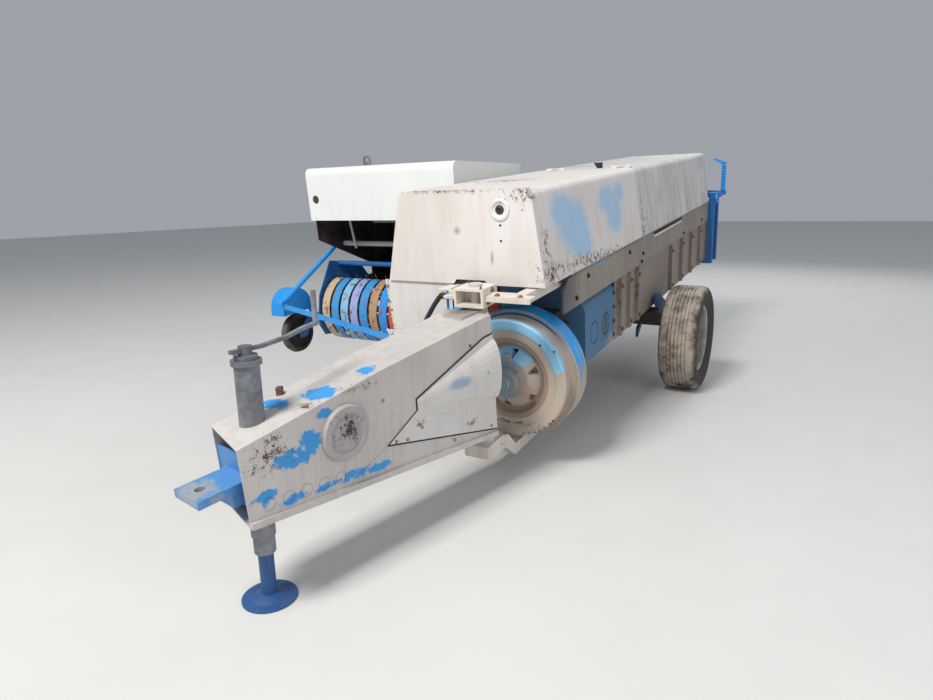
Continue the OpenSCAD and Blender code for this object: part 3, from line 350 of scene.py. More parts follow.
def worn_paint(name, coat, coat_dark, under, bare="#6b4430", patches=(), rusty=(), stains=(),
               stain="#4c4a48", wear=0.30, through=1.0, torn=2.2, rust=0.5, dust=0.5, rough=0.6,
               dust_code="#a3978a", streaks=0.3):
    """Brushed paint over an older coat, with stains, rust specks and dust."""
    material, tree, where = new_material(name)
    tone = coat_tone(tree, where, coat, coat_dark, streaks)
    shows, ragged = worn_share(tree, where, patches, wear, torn)
    share = add(tree, "Math", {0: shows, 1: through}, operation="MULTIPLY")
    painted = add(tree, "Mix", {0: share, 6: tone, 7: linear(under)}, data_type="RGBA")
    if stains:
        close = near(tree, where, stains, 0.8)
        soiled = add(tree, "Math", {0: close, 1: STAIN_SHARE}, operation="MULTIPLY")
        painted = add(tree, "Mix", {0: soiled, 6: painted, 7: linear(stain)}, data_type="RGBA")
    rusted = rust_share(tree, where, rusty, rust)
    rusts = {0: ragged, 6: linear(bare), 7: linear("#35261f")}
    rust_tone = add(tree, "Mix", rusts, data_type="RGBA")
    scarred = add(tree, "Mix", {0: rusted, 6: painted, 7: rust_tone}, data_type="RGBA")
    patchy = add(tree, "Math", {0: dust_share(tree, where, dust), 1: ragged}, operation="MULTIPLY")
    dusty = add(tree, "Mix", {0: patchy, 6: scarred, 7: linear(dust_code)}, data_type="RGBA")

    gloss = add(tree, "MapRange", {"Value": rusted, "To Min": rough, "To Max": RUST_ROUGH})
    wave = add(tree, "TexNoise", {"Vector": where, "Scale": DENTS, "Detail": 1.0})
    flat = add(tree, "Math", {0: wave, 1: rusted}, operation="ADD")
    height = add(tree, "Math", {0: flat, 1: shows}, operation="SUBTRACT")
    surface(tree, dusty, gloss, height, 0.35, 0.0012)
    return material


# %% [markdown]
# ## Painted sheets
# Each sheet gets its own colours and its own worn places. The front hood has two
# soft-edged patches of pale blue on its left side, as if wiped, and rust along its
# lower and front edges and at the top of its nose. The drawbar has hard-edged flakes
# of strong blue, because stones chip its coat off.

# %% Front hood
paints = {}
paints["front_hood"] = worn_paint(
    "brushed_grey_paint_front_hood", "#dbd8d6", "#cdc3b8", "#8fbfe4",
    wear=0.44, torn=0.9, through=0.75, rust=0.42, dust=0.22,
    patches=[spot(246, -1550, 1350, 90, 165, 100), spot(246, -1450, 1280, 90, 200, 140),
             spot(246, -1380, 1200, 90, 160, 85), spot(246, -930, 1350, 90, 160, 85),
             spot(246, -860, 1270, 90, 140, 110), spot(246, -740, 1370, 90, 100, 60)],
    rusty=[spot(250, -1770, 1115, 50, 90, 80), spot(250, -1795, 1240, 40, 40, 130),
           spot(250, -1100, 1075, 60, 1100, 40), spot(-200, -1300, 1482, 200, 300, 12),
           spot(190, -1850, 1470, 120, 60, 50), spot(-250, -1850, 1478, 330, 40, 14)],
    stains=[spot(-158, -1860, 1308, 12, 20, 13), spot(10, -1860, 1190, 6, 20, 22)],
    stain="#8d8e92",
)
print("front hood painted")

# %% Rear hood and side sheets
# Painted shadow: the rear hood's strong dark streaks stand partly for shadow of leaves, partly for
# rain streaks
paints["rear_hood"] = worn_paint(
    "brushed_grey_paint_rear_hood", "#cfcecc", "#a9a8a6", "#a9b6c2",
    wear=0.10, rust=0.25, dust=0.22, streaks=0.55, rusty=[spot(250, -340, 1100, 60, 60, 200)],
)
# Painted shade: the rail's grey is darker than its paint, for the shade it lies in below the hood
paints["grey_rail"] = worn_paint(
    "brushed_grey_paint_rail_shaded", "#938a80", "#766d63", "#7d93a5", wear=0.22, rust=0.5, dust=0.4,
    patches=[spot(248, -1150, 1058, 60, 190, 26), spot(248, -300, 1062, 60, 260, 18)],
    stains=[spot(248, -1600, 1000, 60, 110, 200)], stain="#4f4d5a",
)
# Painted shade: the chamber's grey is darker than its paint, for the shade on its side
paints["chamber"] = worn_paint(
    "weathered_and_shaded_grey_paint_chamber", "#8f847a", "#6d645b", "#6f93b5", wear=0.14, rust=0.7,
    rusty=[spot(240, -815, 800, 60, 26, 200), spot(240, -440, 800, 60, 22, 160)],
)
# Partly painted shade: the box's blue is duller and darker than its paint, for the shade on its
# left side
paints["blue_box"] = worn_paint(
    "worn_and_shaded_blue_paint_box", "#35719f", "#4a6577", "#8f8a80", wear=0.22, dust=0.45,
    dust_code="#8b8a84", stain="#3a2c10", stains=[spot(245, -1010, 690, 60, 30, 60)],
    patches=[spot(160, -1180, 890, 120, 200, 26), spot(238, -900, 585, 60, 160, 40)],
)
paints["white_paint"] = worn_paint(
    "white_gloss_paint", "#e3e5e4", "#d8dbda", "#d2d8da",
    wear=0.02, rust=0.0, dust=0.10, rough=0.35, streaks=0.15,
)
paints["pale_grey"] = worn_paint(
    "brushed_grey_paint_pale", "#dcdad8", "#c6c2be", "#7fa8cb", wear=0.12, dust=0.25,
    rusty=[spot(-585, -1850, 930, 22, 40, 180), spot(-575, -1850, 780, 40, 40, 60)],
)
paints["frame_grey"] = worn_paint(
    "chipped_grey_paint_frame", "#ded6cb", "#bfb4a6", "#7d7064", wear=0.22, rust=1.0, dust=0.15,
)
print("sheet paints:", len(paints))

# %% Blue parts
paints["works_blue"] = worn_paint(
    "works_blue_paint", "#0f93e6", "#0b80cf", "#1f6fae",
    wear=0.12, rust=0.25, dust=0.08, rough=0.42, streaks=0.2,
)
paints["bow_blue"] = worn_paint(
    "works_blue_paint_bow", "#1f98e6", "#1283cf", "#c9c2b8",
    wear=0.55, torn=0.8, rust=0.3, dust=0.08, rough=0.42,
    patches=[spot(-1090, -904, 1083, 560, 80, 80)],
)
paints["dark_blue"] = worn_paint(
    "works_blue_paint_shaded", "#1768ad", "#10508c", "#294a66", wear=0.16, dust=0.18, rough=0.5,
)
paints["leg_blue"] = worn_paint(
    "works_blue_paint_leg", "#14508c", "#0f3c6b", "#4c5054", dust=0.10, rough=0.5,
)
paints["hitch_blue"] = worn_paint(
    "worn_blue_paint_hitch", "#2b86cd", "#5d87a8", "#8d99a3",
    wear=0.35, rust=0.6, dust=0.4, rough=0.5, patches=[spot(0, -1330, 735, 90, 90, 30, bar)],
)
print("paints:", len(paints))

# %% Drawbar and its covers
FLAKES = (
    (112, -1064, 772, 40, 80, 36), (112, -990, 800, 40, 44, 48), (112, -833, 612, 40, 60, 24),
    (112, -730, 592, 40, 70, 20), (112, -1180, 690, 40, 50, 24), (112, -1075, 640, 40, 50, 18),
    (112, -930, 870, 40, 44, 16), (45, -880, 912, 60, 120, 14), (-40, -1000, 898, 60, 70, 10),
    (60, -700, 940, 40, 60, 12), (112, -945, 622, 40, 60, 14),
)
# Partly painted shade: the box's grey is darker than the cover's, for the shade on the front of
# its side
paints["drawbar_grey"] = worn_paint(
    "brushed_grey_paint_drawbar_shaded", "#c6c2bf", "#aaa6a3", "#2b8fd4", wear=0.42, torn=3.0, dust=0.12,
    patches=[spot(*flake, bar) for flake in FLAKES],
    rusty=[spot(118, -1140, 815, 40, 70, 60, bar), spot(118, -780, 912, 40, 90, 16, bar),
           spot(77, -965, 905, 30, 60, 12, bar)],
    stains=[spot(115, -677, 827, 8, 7, 7, bar), spot(-20, -80, 996, 90, 100, 12, bar)],
    stain="#6a625a",
)
paints["cover_grey"] = worn_paint(
    "brushed_grey_paint_cover", "#d2cfcc", "#bfbab6", "#8ba3bd", torn=0.6, rust=0.35, dust=0.12,
    patches=[spot(150, -290, 770, 60, 75, 28, bar), spot(150, -130, 765, 20, 9, 9, bar)],
    rusty=[spot(120, -215, 566, 20, 40, 24, bar), spot(120, -510, 676, 20, 24, 24, bar)],
)
paints["pressed_cover"] = worn_paint(
    "brushed_grey_paint_round_cover", "#aeaaa9", "#9a9694", "#9a9492", bare="#2f2723",
    wear=0.05, rust=0.9, dust=0.15, rusty=[spot(130, -850, 790, 30, 52, 44, bar)],
)
print("paints:", len(paints))

# %% [markdown]
# ## Flywheel paint
# The flywheel shows its history in rings: the drum is still bright blue where straw
# polished it, its front edge is rusty grey, and the disc has weathered to beige with
# pale blue left along its upper rim and on the hub's dish. Rings follow the wheel's
# own axis, so a Mapping node first turns frame places into machine places.

# %% Rings about the flywheel's shaft
FLY_X, FLY_FRONT, FLY_Z = 12, -1762, 601
DISC_R, DRUM_R, LIP = 0.288, 0.316, 0.014
SHARP = 0.002
RIM_ANGLES = (1.9, 1.6, 1.35, 1.1, 0.85, 0.6, 0.4)
RIM_R = 272


def ring(tree, radius, inside, outside, soft=0.006):
    """1 between two radii, 0 elsewhere, with a soft edge."""
    rise = {"Value": radius, "From Min": inside - soft, "From Max": inside + soft}
    fall = {"Value": radius, "From Min": outside + soft, "From Max": outside - soft}
    both = {0: add(tree, "MapRange", rise), 1: add(tree, "MapRange", fall)}
    return add(tree, "Math", both, operation="MULTIPLY")


# %% Disc
def disc_tone(tree, where, radius, ragged):
    """Beige, browner in its inner ring, with pale blue left on the upper rim and the dish."""
    slow = add(tree, "TexNoise", {"Vector": where, "Scale": 5.0, "Detail": 3.0})
    sands = {0: slow, 6: linear("#c0b3a5"), 7: linear("#a99c90")}
    beige = add(tree, "Mix", sands, data_type="RGBA")
    browner = {0: ring(tree, radius, 0.150, 0.200), 6: beige, 7: linear("#9c8678")}
    toned = add(tree, "Mix", browner, data_type="RGBA")

    rim = [spot(FLY_X + RIM_R * math.cos(a), FLY_FRONT, FLY_Z + RIM_R * math.sin(a), 50, 60, 50)
           for a in RIM_ANGLES]
    left = near(tree, where, [*rim, spot(40, -1740, 720, 100, 60, 60)], 0.4)
    kept = add(tree, "Math", {0: left, 1: ragged}, operation="ADD")
    blue_on = add(tree, "MapRange", {"Value": kept, "From Min": 1.0, "From Max": 1.12})
    middle = ring(tree, radius, 0.158, 0.236)
    free = add(tree, "Math", {0: 1.0, 1: middle}, operation="SUBTRACT")
    share = add(tree, "Math", {0: blue_on, 1: free}, operation="MULTIPLY")
    return add(tree, "Mix", {0: share, 6: toned, 7: linear("#8cc2e2")}, data_type="RGBA")


# %% Drum
def drum_tone(tree, own, radius, ragged):
    """Bright blue, worn grey in streaks and towards the ground, with painted shade in the upper
    gap and a rusty front edge.
    """
    around = add(tree, "Mapping", {"Vector": own, "Scale": (6, 60, 6)})
    scrape = add(tree, "TexNoise", {"Vector": around, "Scale": 1.0, "Detail": 4.0})
    high = add(tree, "SeparateXYZ", {0: own}).outputs["Z"]
    fall = {"Value": high, "From Min": 0.80, "From Max": 0.50, "To Min": -0.06, "To Max": 0.22}
    rubbed = add(tree, "Math", {0: scrape, 1: add(tree, "MapRange", fall)}, operation="ADD")
    bare = add(tree, "MapRange", {"Value": rubbed, "From Min": 0.54, "From Max": 0.62})
    coats = {0: bare, 6: linear("#149be8"), 7: linear("#aca292")}
    blue = add(tree, "Mix", coats, data_type="RGBA")

    # Painted shade: the upper part of the gap between disc and drum is painted dark blue, where
    # shadow falls
    shade = add(tree, "MapRange", {"Value": high, "From Min": 0.78, "From Max": 0.84})
    between = ring(tree, radius, DISC_R + SHARP, DRUM_R - LIP, SHARP)
    gap = add(tree, "Math", {0: between, 1: shade}, operation="MULTIPLY")
    gap_shaded = add(tree, "Mix", {0: gap, 6: blue, 7: linear("#1c5a8e")}, data_type="RGBA")
    rusts = {0: ragged, 6: linear("#8b7462"), 7: linear("#b3a699")}
    edge = add(tree, "Mix", rusts, data_type="RGBA")
    lip = ring(tree, radius, DRUM_R - LIP, DRUM_R - SHARP, SHARP)
    return add(tree, "Mix", {0: lip, 6: gap_shaded, 7: edge}, data_type="RGBA")


# %% Disc and drum in one finish
def flywheel_paint():
    """The drum's tone outside the disc's radius, the disc's inside it, and a few rust specks."""
    material, tree, where = new_material("ringed_blue_paint_flywheel")
    back = machine.inverted()
    turn_back = {"Vector": where, "Location": back.translation, "Rotation": back.to_euler()}
    own = add(tree, "Mapping", turn_back)
    radius = distance(tree, own, (FLY_X / 1000, 0, FLY_Z / 1000), (1, 0, 1))
    rough_edge = {"Vector": where, "Scale": 24.0, "Detail": 8.0, "Roughness": 0.72}
    ragged = add(tree, "TexNoise", rough_edge)
    disc = disc_tone(tree, where, radius, ragged)
    drum = drum_tone(tree, own, radius, ragged)
    past_disc = {"Value": radius, "From Min": DISC_R, "From Max": DISC_R + SHARP}
    is_drum = add(tree, "MapRange", past_disc)
    whole = add(tree, "Mix", {0: is_drum, 6: disc, 7: drum}, data_type="RGBA")
    rusted = rust_share(tree, where, [spot(FLY_X, FLY_FRONT, 380, 200, 40, 14)], 0.4)
    spotted = add(tree, "Mix", {0: rusted, 6: whole, 7: linear("#5e4030")}, data_type="RGBA")
    surface(tree, spotted, 0.55, ragged, 0.25)
    return material


paints["flywheel"] = flywheel_paint()
print("rings from", DISC_R, "to", DRUM_R, "m")

# %% [markdown]
# ## Bare metals
# The gearbox, the tines and the bolts have lost their paint. Old grease holds dirt, so
# the gearbox is nearly black and half glossy, and thin tines are evenly rusted. The
# rims are galvanised, which gives a pale grey metal with faint cloudy spangle.


# %% Metal finishes
def bare_metal(name, light, dark, metallic, rough, grain=30.0):
    """Metal with a clouded tone: greasy, rusted or galvanised by its colours."""
    material, tree, where = new_material(name)
    mottled = {"Vector": where, "Scale": grain, "Detail": 8.0, "Roughness": 0.7}
    cloud = add(tree, "TexNoise", mottled)
    slow = add(tree, "TexNoise", {"Vector": where, "Scale": grain / 6, "Detail": 3.0})
    mixed = add(tree, "Math", {0: cloud, 1: slow}, operation="MULTIPLY")
    share = add(tree, "MapRange", {"Value": mixed, "From Min": 0.15, "From Max": 0.38})
    tone = add(tree, "Mix", {0: share, 6: linear(dark), 7: linear(light)}, data_type="RGBA")
    spread = {"Value": cloud, "To Min": rough - 0.15, "To Max": rough + 0.15}
    surface(tree, tone, add(tree, "MapRange", spread), cloud, 0.4, 0.0006, metallic)
    return material


paints["greasy_iron"] = bare_metal("greasy_cast_iron", "#5b5047", "#241f1b", 0.2, 0.5)
paints["rusty_steel"] = bare_metal("rusted_steel", "#8d6a52", "#4c352a", 0.0, 0.8, 60)
paints["rusty_tines"] = bare_metal("rusted_spring_steel", "#7d5a48", "#46302a", 0.1, 0.7, 70)
paints["galvanised"] = bare_metal("galvanised_steel_rim", "#c9c8c4", "#98948c", 0.55, 0.45, 40)
paints["worn_steel"] = bare_metal("worn_grey_steel", "#92959b", "#62656b", 0.3, 0.55, 45)
paints["dark_steel"] = bare_metal("blackened_steel", "#3b3734", "#1d1b1a", 0.3, 0.6, 50)
paints["clutch"] = bare_metal("rusty_clutch_steel", "#c09472", "#84a0ac", 0.1, 0.65, 16)
paints["green_nut"] = bare_metal("verdigris_nut", "#7fb6a6", "#4f7f78", 0.2, 0.5, 40)
paints["chalky_rust"] = bare_metal("dust_covered_bolt_steel", "#a99c8e", "#6f5546", 0.1, 0.75, 90)
print("paints:", len(paints))

# %% [markdown]
# ## Rubber
# Tyres are carbon-black rubber under dried mud, so their tread looks grey-brown with
# dark scuffs, and the walls stay dark. The finish knows each tyre's axle and puts more
# mud on at the tread's radius. Seals, the dark strips that paint shade in gaps, and the
# hose use it with little mud.

# %% Rubber finishes
# Radians per metre, so the wall's fine rings lie 12 mm apart
WALL_RINGS = 520.0
# A bend or a strip has no axle, so its centre is the frame's origin and its tread out of reach
NO_AXLE, NO_TREAD = (0, 0, 0), 3.0


def rubber(name, clean, mud, centre, tread_r, mud_share):
    """Tyre rubber about an axle: dried mud on the tread, fine rings on the wall."""
    material, tree, where = new_material(name)
    radius = distance(tree, where, centre, (0, 1, 1))
    mottled = {"Vector": where, "Scale": 9.0, "Detail": 7.0, "Roughness": 0.7}
    blotch = add(tree, "TexNoise", mottled)
    outwards = {"Value": radius, "From Min": tread_r - 0.05, "From Max": tread_r, "To Min": 0.5}
    thick = {0: add(tree, "MapRange", outwards), 1: blotch}
    mud_on = add(tree, "Math", thick, operation="MULTIPLY")
    patchy = {"Value": mud_on, "From Min": 0.34, "From Max": 0.54, "To Max": mud_share}
    mixed = {0: add(tree, "MapRange", patchy), 6: linear(clean), 7: linear(mud)}
    tone = add(tree, "Mix", mixed, data_type="RGBA")

    rings = add(tree, "Math", {0: radius, 1: WALL_RINGS}, operation="MULTIPLY")
    wave = add(tree, "Math", {0: rings}, operation="SINE")
    small = add(tree, "Math", {0: wave, 1: 0.25}, operation="MULTIPLY")
    fine = add(tree, "TexNoise", {"Vector": where, "Scale": 140.0, "Detail": 4.0})
    height = add(tree, "Math", {0: small, 1: fine}, operation="ADD")
    surface(tree, tone, 0.85, height, 0.5, 0.0012)
    return material


def middle(box):
    """The middle of a box that is given by its lowest and highest corners."""
    return (Vector(box[0]) + Vector(box[1])) / 2


left_hub = middle(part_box("left_tyre"))
right_hub = middle(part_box("right_tyre"))
gauge_hub = middle(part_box("gauge_wheel"))
# Finish: material, clean and muddy colour, centre, tread's radius, share of mud
RUBBERS = {
    "left_tyre": ("dusty_tyre_rubber_left", "#3b3632", "#a59a8d", left_hub, 0.345, 0.95),
    "right_tyre": ("dusty_tyre_rubber_right", "#3b3632", "#a1968a", right_hub, 0.310, 0.92),
    "gauge_tyre": ("dusty_solid_rubber", "#25221f", "#6d6258", gauge_hub, 0.130, 0.8),
    "hose": ("matt_hose_rubber", "#303133", "#5d5a57", NO_AXLE, NO_TREAD, 0.3),
    # The same dark rubber makes the strips that paint shade in the gaps round the drawbar's cover
    # and below the front hood
    "seal_and_gap_shade": ("black_seal_and_gap_shade_rubber", "#1f1f20", "#4a4744", NO_AXLE, NO_TREAD, 0.35),
}
for finish, settings in RUBBERS.items():
    paints[finish] = rubber(*settings)
print("paints:", len(paints))

# %% [markdown]
# ## Pickup bands
# Each band round the pickup was replaced or repainted at another time, so they are
# blue, pale blue, rusty and orange side by side. The band's number, counted across the
# machine, picks its colour from a short strip of fixed steps.

# %% Bands in many colours
BAND_COLOURS = ("#c2ad8c", "#3a8fcb", "#7fb4d8", "#8f9fd0", "#2b8fd6", "#a98a6c", "#1f8ad8",
                "#c4532e", "#c2ad8c")
BAND_PITCH = 0.078
BAND_GAP = 0.009
BAR_TO_BAND = 0.0207


def band_paint():
    """One finish for all the bands, with a colour for each and rust rubbed through it."""
    material, tree, where = new_material("mixed_band_paint")
    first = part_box("pickup_bands")[0][0] + BAR_TO_BAND - BAND_GAP
    along = add(tree, "SeparateXYZ", {0: where})
    number = add(tree, "Math", {0: along, 1: first}, operation="SUBTRACT")
    turn = add(tree, "Math", {0: number, 1: BAND_PITCH * len(BAND_COLOURS)}, operation="DIVIDE")
    steps = add(tree, "ValToRGB", {"Fac": add(tree, "Math", {0: turn}, operation="FRACT")})
    ramp = steps.color_ramp
    ramp.interpolation = "CONSTANT"
    while len(ramp.elements) < len(BAND_COLOURS):
        ramp.elements.new(0.5)
    for i, code in enumerate(BAND_COLOURS):
        ramp.elements[i].position = i / len(BAND_COLOURS)
        ramp.elements[i].color = linear(code)
    mottled = {"Vector": where, "Scale": 30.0, "Detail": 8.0, "Roughness": 0.7}
    ragged = add(tree, "TexNoise", mottled)
    rubbed = add(tree, "MapRange", {"Value": ragged, "From Min": 0.54, "From Max": 0.62})
    tone = add(tree, "Mix", {0: rubbed, 6: steps, 7: linear("#7a5a47")}, data_type="RGBA")
    surface(tree, tone, 0.6, rubbed, 0.3)
    return material


paints["bands"] = band_paint()
print("band colours:", len(BAND_COLOURS))

# %% [markdown]
# ## Dress the CAD nodes
# Every CAD node keeps its mesh and only swaps its material. The hose and the two tyres
# are dressed too, though finer pieces take their place further on.

# %% Which nodes wear which finish
DRESS = {
    "front_hood": "front_hood", "rear_hood": "rear_hood", "white_paint": "feeder_hood",
    "grey_rail": "left_rail right_rail", "blue_box": "plunger_box",
    "chamber": "chamber_left chamber_right chamber_floor chamber_top",
    "greasy_iron": "gearbox main_axle feeder_box", "frame_grey": "front_frame pivot_arm",
    "pale_grey": "front_panel packer twine_box twine_lid",
    "dark_blue": "knotter_stack needle_frame density_frame pickup_frame",
    "works_blue": "density_springs pickup_shield", "bow_blue": "guard_bow",
    "worn_steel": "lifting_eye jack_tube jack_crank", "leg_blue": "jack_leg",
    "flywheel": "flywheel", "clutch": "clutch_hub", "drawbar_grey": "drawbar_box",
    "cover_grey": "drawbar_cover", "pressed_cover": "round_cover", "hitch_blue": "hitch_plate",
    "galvanised": "left_rim right_rim", "left_tyre": "left_tyre", "right_tyre": "right_tyre",
    "bands": "pickup_bands", "rusty_tines": "pickup_reel", "gauge_tyre": "gauge_wheel",
    "hose": "hydraulic_hose",
}
dressed = 0
for finish, nodes in DRESS.items():
    for node in nodes.split():
        slots = frame["nodes"][node].data.materials
        slots.clear()
        slots.append(paints[finish])
        dressed += 1
print("dressed", dressed, "of", len(frame["nodes"]))

# %% [markdown]
# ## Turned pieces, strips and their copies
# Bolts, caps and nipples are all turned or stamped from bar, so one helper makes them:
# a short cylinder whose end face is drawn in and out, as on a lathe. A second helper
# makes flat strips with rounded edges. A piece is modelled once at the origin, its Z
# outwards, and another helper sets copies of it wherever the machine has one.

# %% Choosing faces and finishing a mesh
bpy.context.tool_settings.mesh_select_mode = (False, False, True)
# A direction's share above which a face looks that way
MOSTLY = 0.5


def pick(piece, test=lambda middle, way: True):
    """Go into edit mode with those faces chosen whose middle and direction pass a test."""
    bpy.context.view_layer.objects.active = piece
    if piece.mode == "EDIT":
        bpy.ops.object.mode_set(mode="OBJECT")
    for part in (*piece.data.vertices, *piece.data.edges):
        part.select = False
    for face in piece.data.polygons:
        face.select = test(face.center, face.normal)
    bpy.ops.object.mode_set(mode="EDIT")


def finished(angle=35):
    """Leave edit mode, and shade the active piece smooth but for edges over the angle."""
    bpy.ops.object.mode_set(mode="OBJECT")
    bpy.ops.object.shade_smooth_by_angle(angle=math.radians(angle))
    return bpy.context.object


# %% Lathe and strip
def turned(name, sides, profile):
    """A turned piece on Z, from a profile of (radius, height) in millimetres from its foot up."""
    (foot_r, foot), (last_r, top) = profile[:2]
    bpy.ops.object.select_all(action="DESELECT")
    bpy.ops.mesh.primitive_cylinder_add(
        vertices=sides, radius=foot_r / 1000, depth=(top - foot) / 1000,
        location=(0, 0, (top + foot) / 2000),
    )
    piece = bpy.context.object
    piece.name = name
    bpy.ops.object.transform_apply(location=True)
    pick(piece, lambda middle, way: way.z > MOSTLY)
    wider = last_r / foot_r
    bpy.ops.transform.resize(value=(wider, wider, 1), center_override=(0, 0, 0))
    for radius, high in profile[2:]:
        move = {"value": (0, 0, (high - top) / 1000)}
        bpy.ops.mesh.extrude_region_move(TRANSFORM_OT_translate=move)
        wider = radius / last_r
        bpy.ops.transform.resize(value=(wider, wider, 1), center_override=(0, 0, 0))
        last_r, top = radius, high
    return finished()


def strip(name, long, wide, thick, rounded):
    """A flat strip along Y that lies on Z, with rounded edges, in millimetres."""
    bpy.ops.object.select_all(action="DESELECT")
    bpy.ops.mesh.primitive_cube_add(size=1, location=(0, 0, 0.5))
    piece = bpy.context.object
    piece.name = name
    bpy.ops.object.transform_apply(location=True)
    pick(piece)
    size = (wide / 1000, long / 1000, thick / 1000)
    bpy.ops.transform.resize(value=size, center_override=(0, 0, 0))
    bpy.ops.mesh.bevel(offset=rounded / 1000, segments=2, affect="EDGES")
    return finished()


# %% Copies at their places
QUARTER = math.pi / 2
FACING = {
    "up": Matrix.Identity(4),
    "left": Matrix.Rotation(QUARTER, 4, "Y"), "right": Matrix.Rotation(-QUARTER, 4, "Y"),
    "front": Matrix.Rotation(QUARTER, 4, "X"), "back": Matrix.Rotation(-QUARTER, 4, "X"),
}


def joined(made, name):
    """Pieces as one, under one name."""
    bpy.ops.object.select_all(action="DESELECT")
    for piece in made:
        piece.select_set(True)
    bpy.context.view_layer.objects.active = made[0]
    if len(made) > 1:
        bpy.ops.object.join()
    made[0].name = made[0].data.name = name
    return made[0]


def wear(piece, finish, body):
    """Give a piece its finish and the body it rides on."""
    piece.data.materials.clear()
    piece.data.materials.append(paints[finish])
    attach(piece, body)


def fit(pattern, name, body, finish, places, facing="up", on=machine):
    """Copies of a pattern at places in millimetres, joined into one piece that rides on a body."""
    made = []
    for at in places:
        copy = pattern.copy()
        copy.data = pattern.data.copy()
        bpy.context.collection.objects.link(copy)
        copy.data.transform(on @ Matrix.Translation(Vector(at) / 1000) @ FACING[facing])
        made.append(copy)
    wear(joined(made, name), finish, body)


# %% [markdown]
# ## Bolts
# The sheets are held by hexagon bolts with washers, those on the drawbar are smaller and
# have none, and the thin sheets have round-headed rivets. Each bolt stands on the very
# face that it holds, so a table gives the face's side and the places on it.

# %% Patterns for bolts and rivets
head = turned("bolt_pattern", 6, [(9, 1.5), (9.2, 2), (9.2, 7.5), (8.2, 8.6), (4, 8.8)])
washer = turned("washer_pattern", 20, [(14, 0), (14, 1.2), (13.2, 1.8), (9, 1.8)])
bolt = joined([head, washer], "bolt_pattern")
small_bolt = turned("small_bolt_pattern", 6, [(6.5, 0), (6.8, 0.6), (6.8, 4), (6, 4.8), (3, 5)])
rivet = turned("rivet_pattern", 14, [(6.5, 0), (6.5, 0.8), (5.6, 2.2), (3.6, 3.1), (1.2, 3.5)])
print("bolt faces:", len(bolt.data.polygons), "rivet faces:", len(rivet.data.polygons))

# %% Where the bolts sit
COVER_FACE, BAR_FACE, RAIL_FACE = 119.3, 115, 247.3
COVER_BOLTS = ((-583, 640), (-505, 660), (-217, 566), (-327, 534), (-640, 655), (-90, 505))
RAIL_BOLTS = ((-1315, 1016), (-615, 1013), (-326, 959), (-357, 915), (812, 925), (-1480, 940),
              (1500, 940))
RIBS = (-783, -603, -433, 437, 777, 1117, 1457)
REEL_Y, REEL_Z, REEL_BOLTS_R = -1000, 660, 52
BOLTS = (
    ("bolts_drawbar_cover", "drawbar", "chalky_rust", "left", bar,
     [(COVER_FACE, y, z) for y, z in COVER_BOLTS]),
    ("bolts_drawbar_side", "drawbar", "rusty_steel", "left", bar, [(BAR_FACE, -193, 894)]),
    ("bolts_crossbar", "root", "chalky_rust", "front", machine,
     [(-190, -1960, 1042), (-112, -1960, 1050), (80, -1960, 1048), (190, -1960, 1042)]),
    ("bolts_angle", "root", "chalky_rust", "up", machine, [(95, -1990, 1058), (200, -1990, 1058)]),
    ("bolts_box_flange", "root", "rusty_steel", "left", machine,
     [(235, -875, z) for z in (590, 670, 750, 830)]),
    ("bolts_ribs", "root", "rusty_steel", "left", machine,
     [(257, y, z) for y in RIBS for z in (600, 850)]),
    ("bolts_rail", "root", "dark_steel", "left", machine,
     [(RAIL_FACE, y, z) for y, z in RAIL_BOLTS]),
    ("bolts_pivot_block", "root", "rusty_steel", "left", machine,
     [(50, -1990, 1030), (50, -1950, 1072)]),
    ("bolts_pickup_side", "pickup", "rusty_steel", "right", machine,
     [(-1665, REEL_Y + REEL_BOLTS_R * math.cos(a), REEL_Z + REEL_BOLTS_R * math.sin(a))
      for a in (0.8, 2.4, 3.9, 5.5)]),
    ("bolts_twine_box", "root", "rusty_steel", "right", machine,
     [(-960, y, z) for y in (-240, 70, 380) for z in (790, 1120)]),
    ("bolts_feeder_end", "root", "rusty_steel", "right", machine,
     [(-1650, y, 1235) for y in (-1090, -760, -430)]),
)
for name, body, finish, facing, on, places in BOLTS:
    fit(small_bolt if body == "drawbar" else bolt, name, body, finish, places, facing, on)
print("bolts:", sum(len(row[-1]) for row in BOLTS))

# %% Where the rivets sit
RIVETS = (
    ("rivets_feeder_front", "white_paint", "front",
     [(x, -1180, 1290) for x in range(-1620, -580, 170)]),
    ("rivets_feeder_side", "white_paint", "right",
     [(-1660, y, 1290) for y in range(-1130, -360, 190)]),
    ("rivets_rear_hood", "rusty_steel", "back", [(x, 1720, 1100) for x in range(-480, 240, 170)]),
    ("rivets_front_panel", "chalky_rust", "front",
     [(-575, -1850, z) for z in (800, 880, 960, 1040)]),
)
for name, finish, facing, places in RIVETS:
    fit(rivet, name, "root", finish, places, facing)
print("rivets:", sum(len(row[-1]) for row in RIVETS))

# %% [markdown]
# ## Lock on the hood's nose
# A round pressing sits in the nose sheet, with a raised rim, a sunk dish and a boss for
# the key in the middle. It is one turned shape: up for the rim, down for the dish, and
# up again for the boss. The boss's dark cap is a second one. Small dark discs with a
# sunk middle make the hood's two holes and the flywheel's slots: painted shade for the
# dark inside of each hole.

# %% Hood lock and small holes
NOSE, WHEEL_FACE = -1860, -1767
LOCK_AT = [(57, NOSE, 1396)]
lock = turned("lock_pattern", 40, [(46, 0), (47, 2), (46, 5), (42, 7), (36, 7), (32, 5.5),
                                   (29, 0.5), (16, -1), (14, 3), (9, 3.4), (7.5, -0.5), (3, -0.6)])
fit(lock, "hood_lock", "front_hood", "front_hood", LOCK_AT, "front")
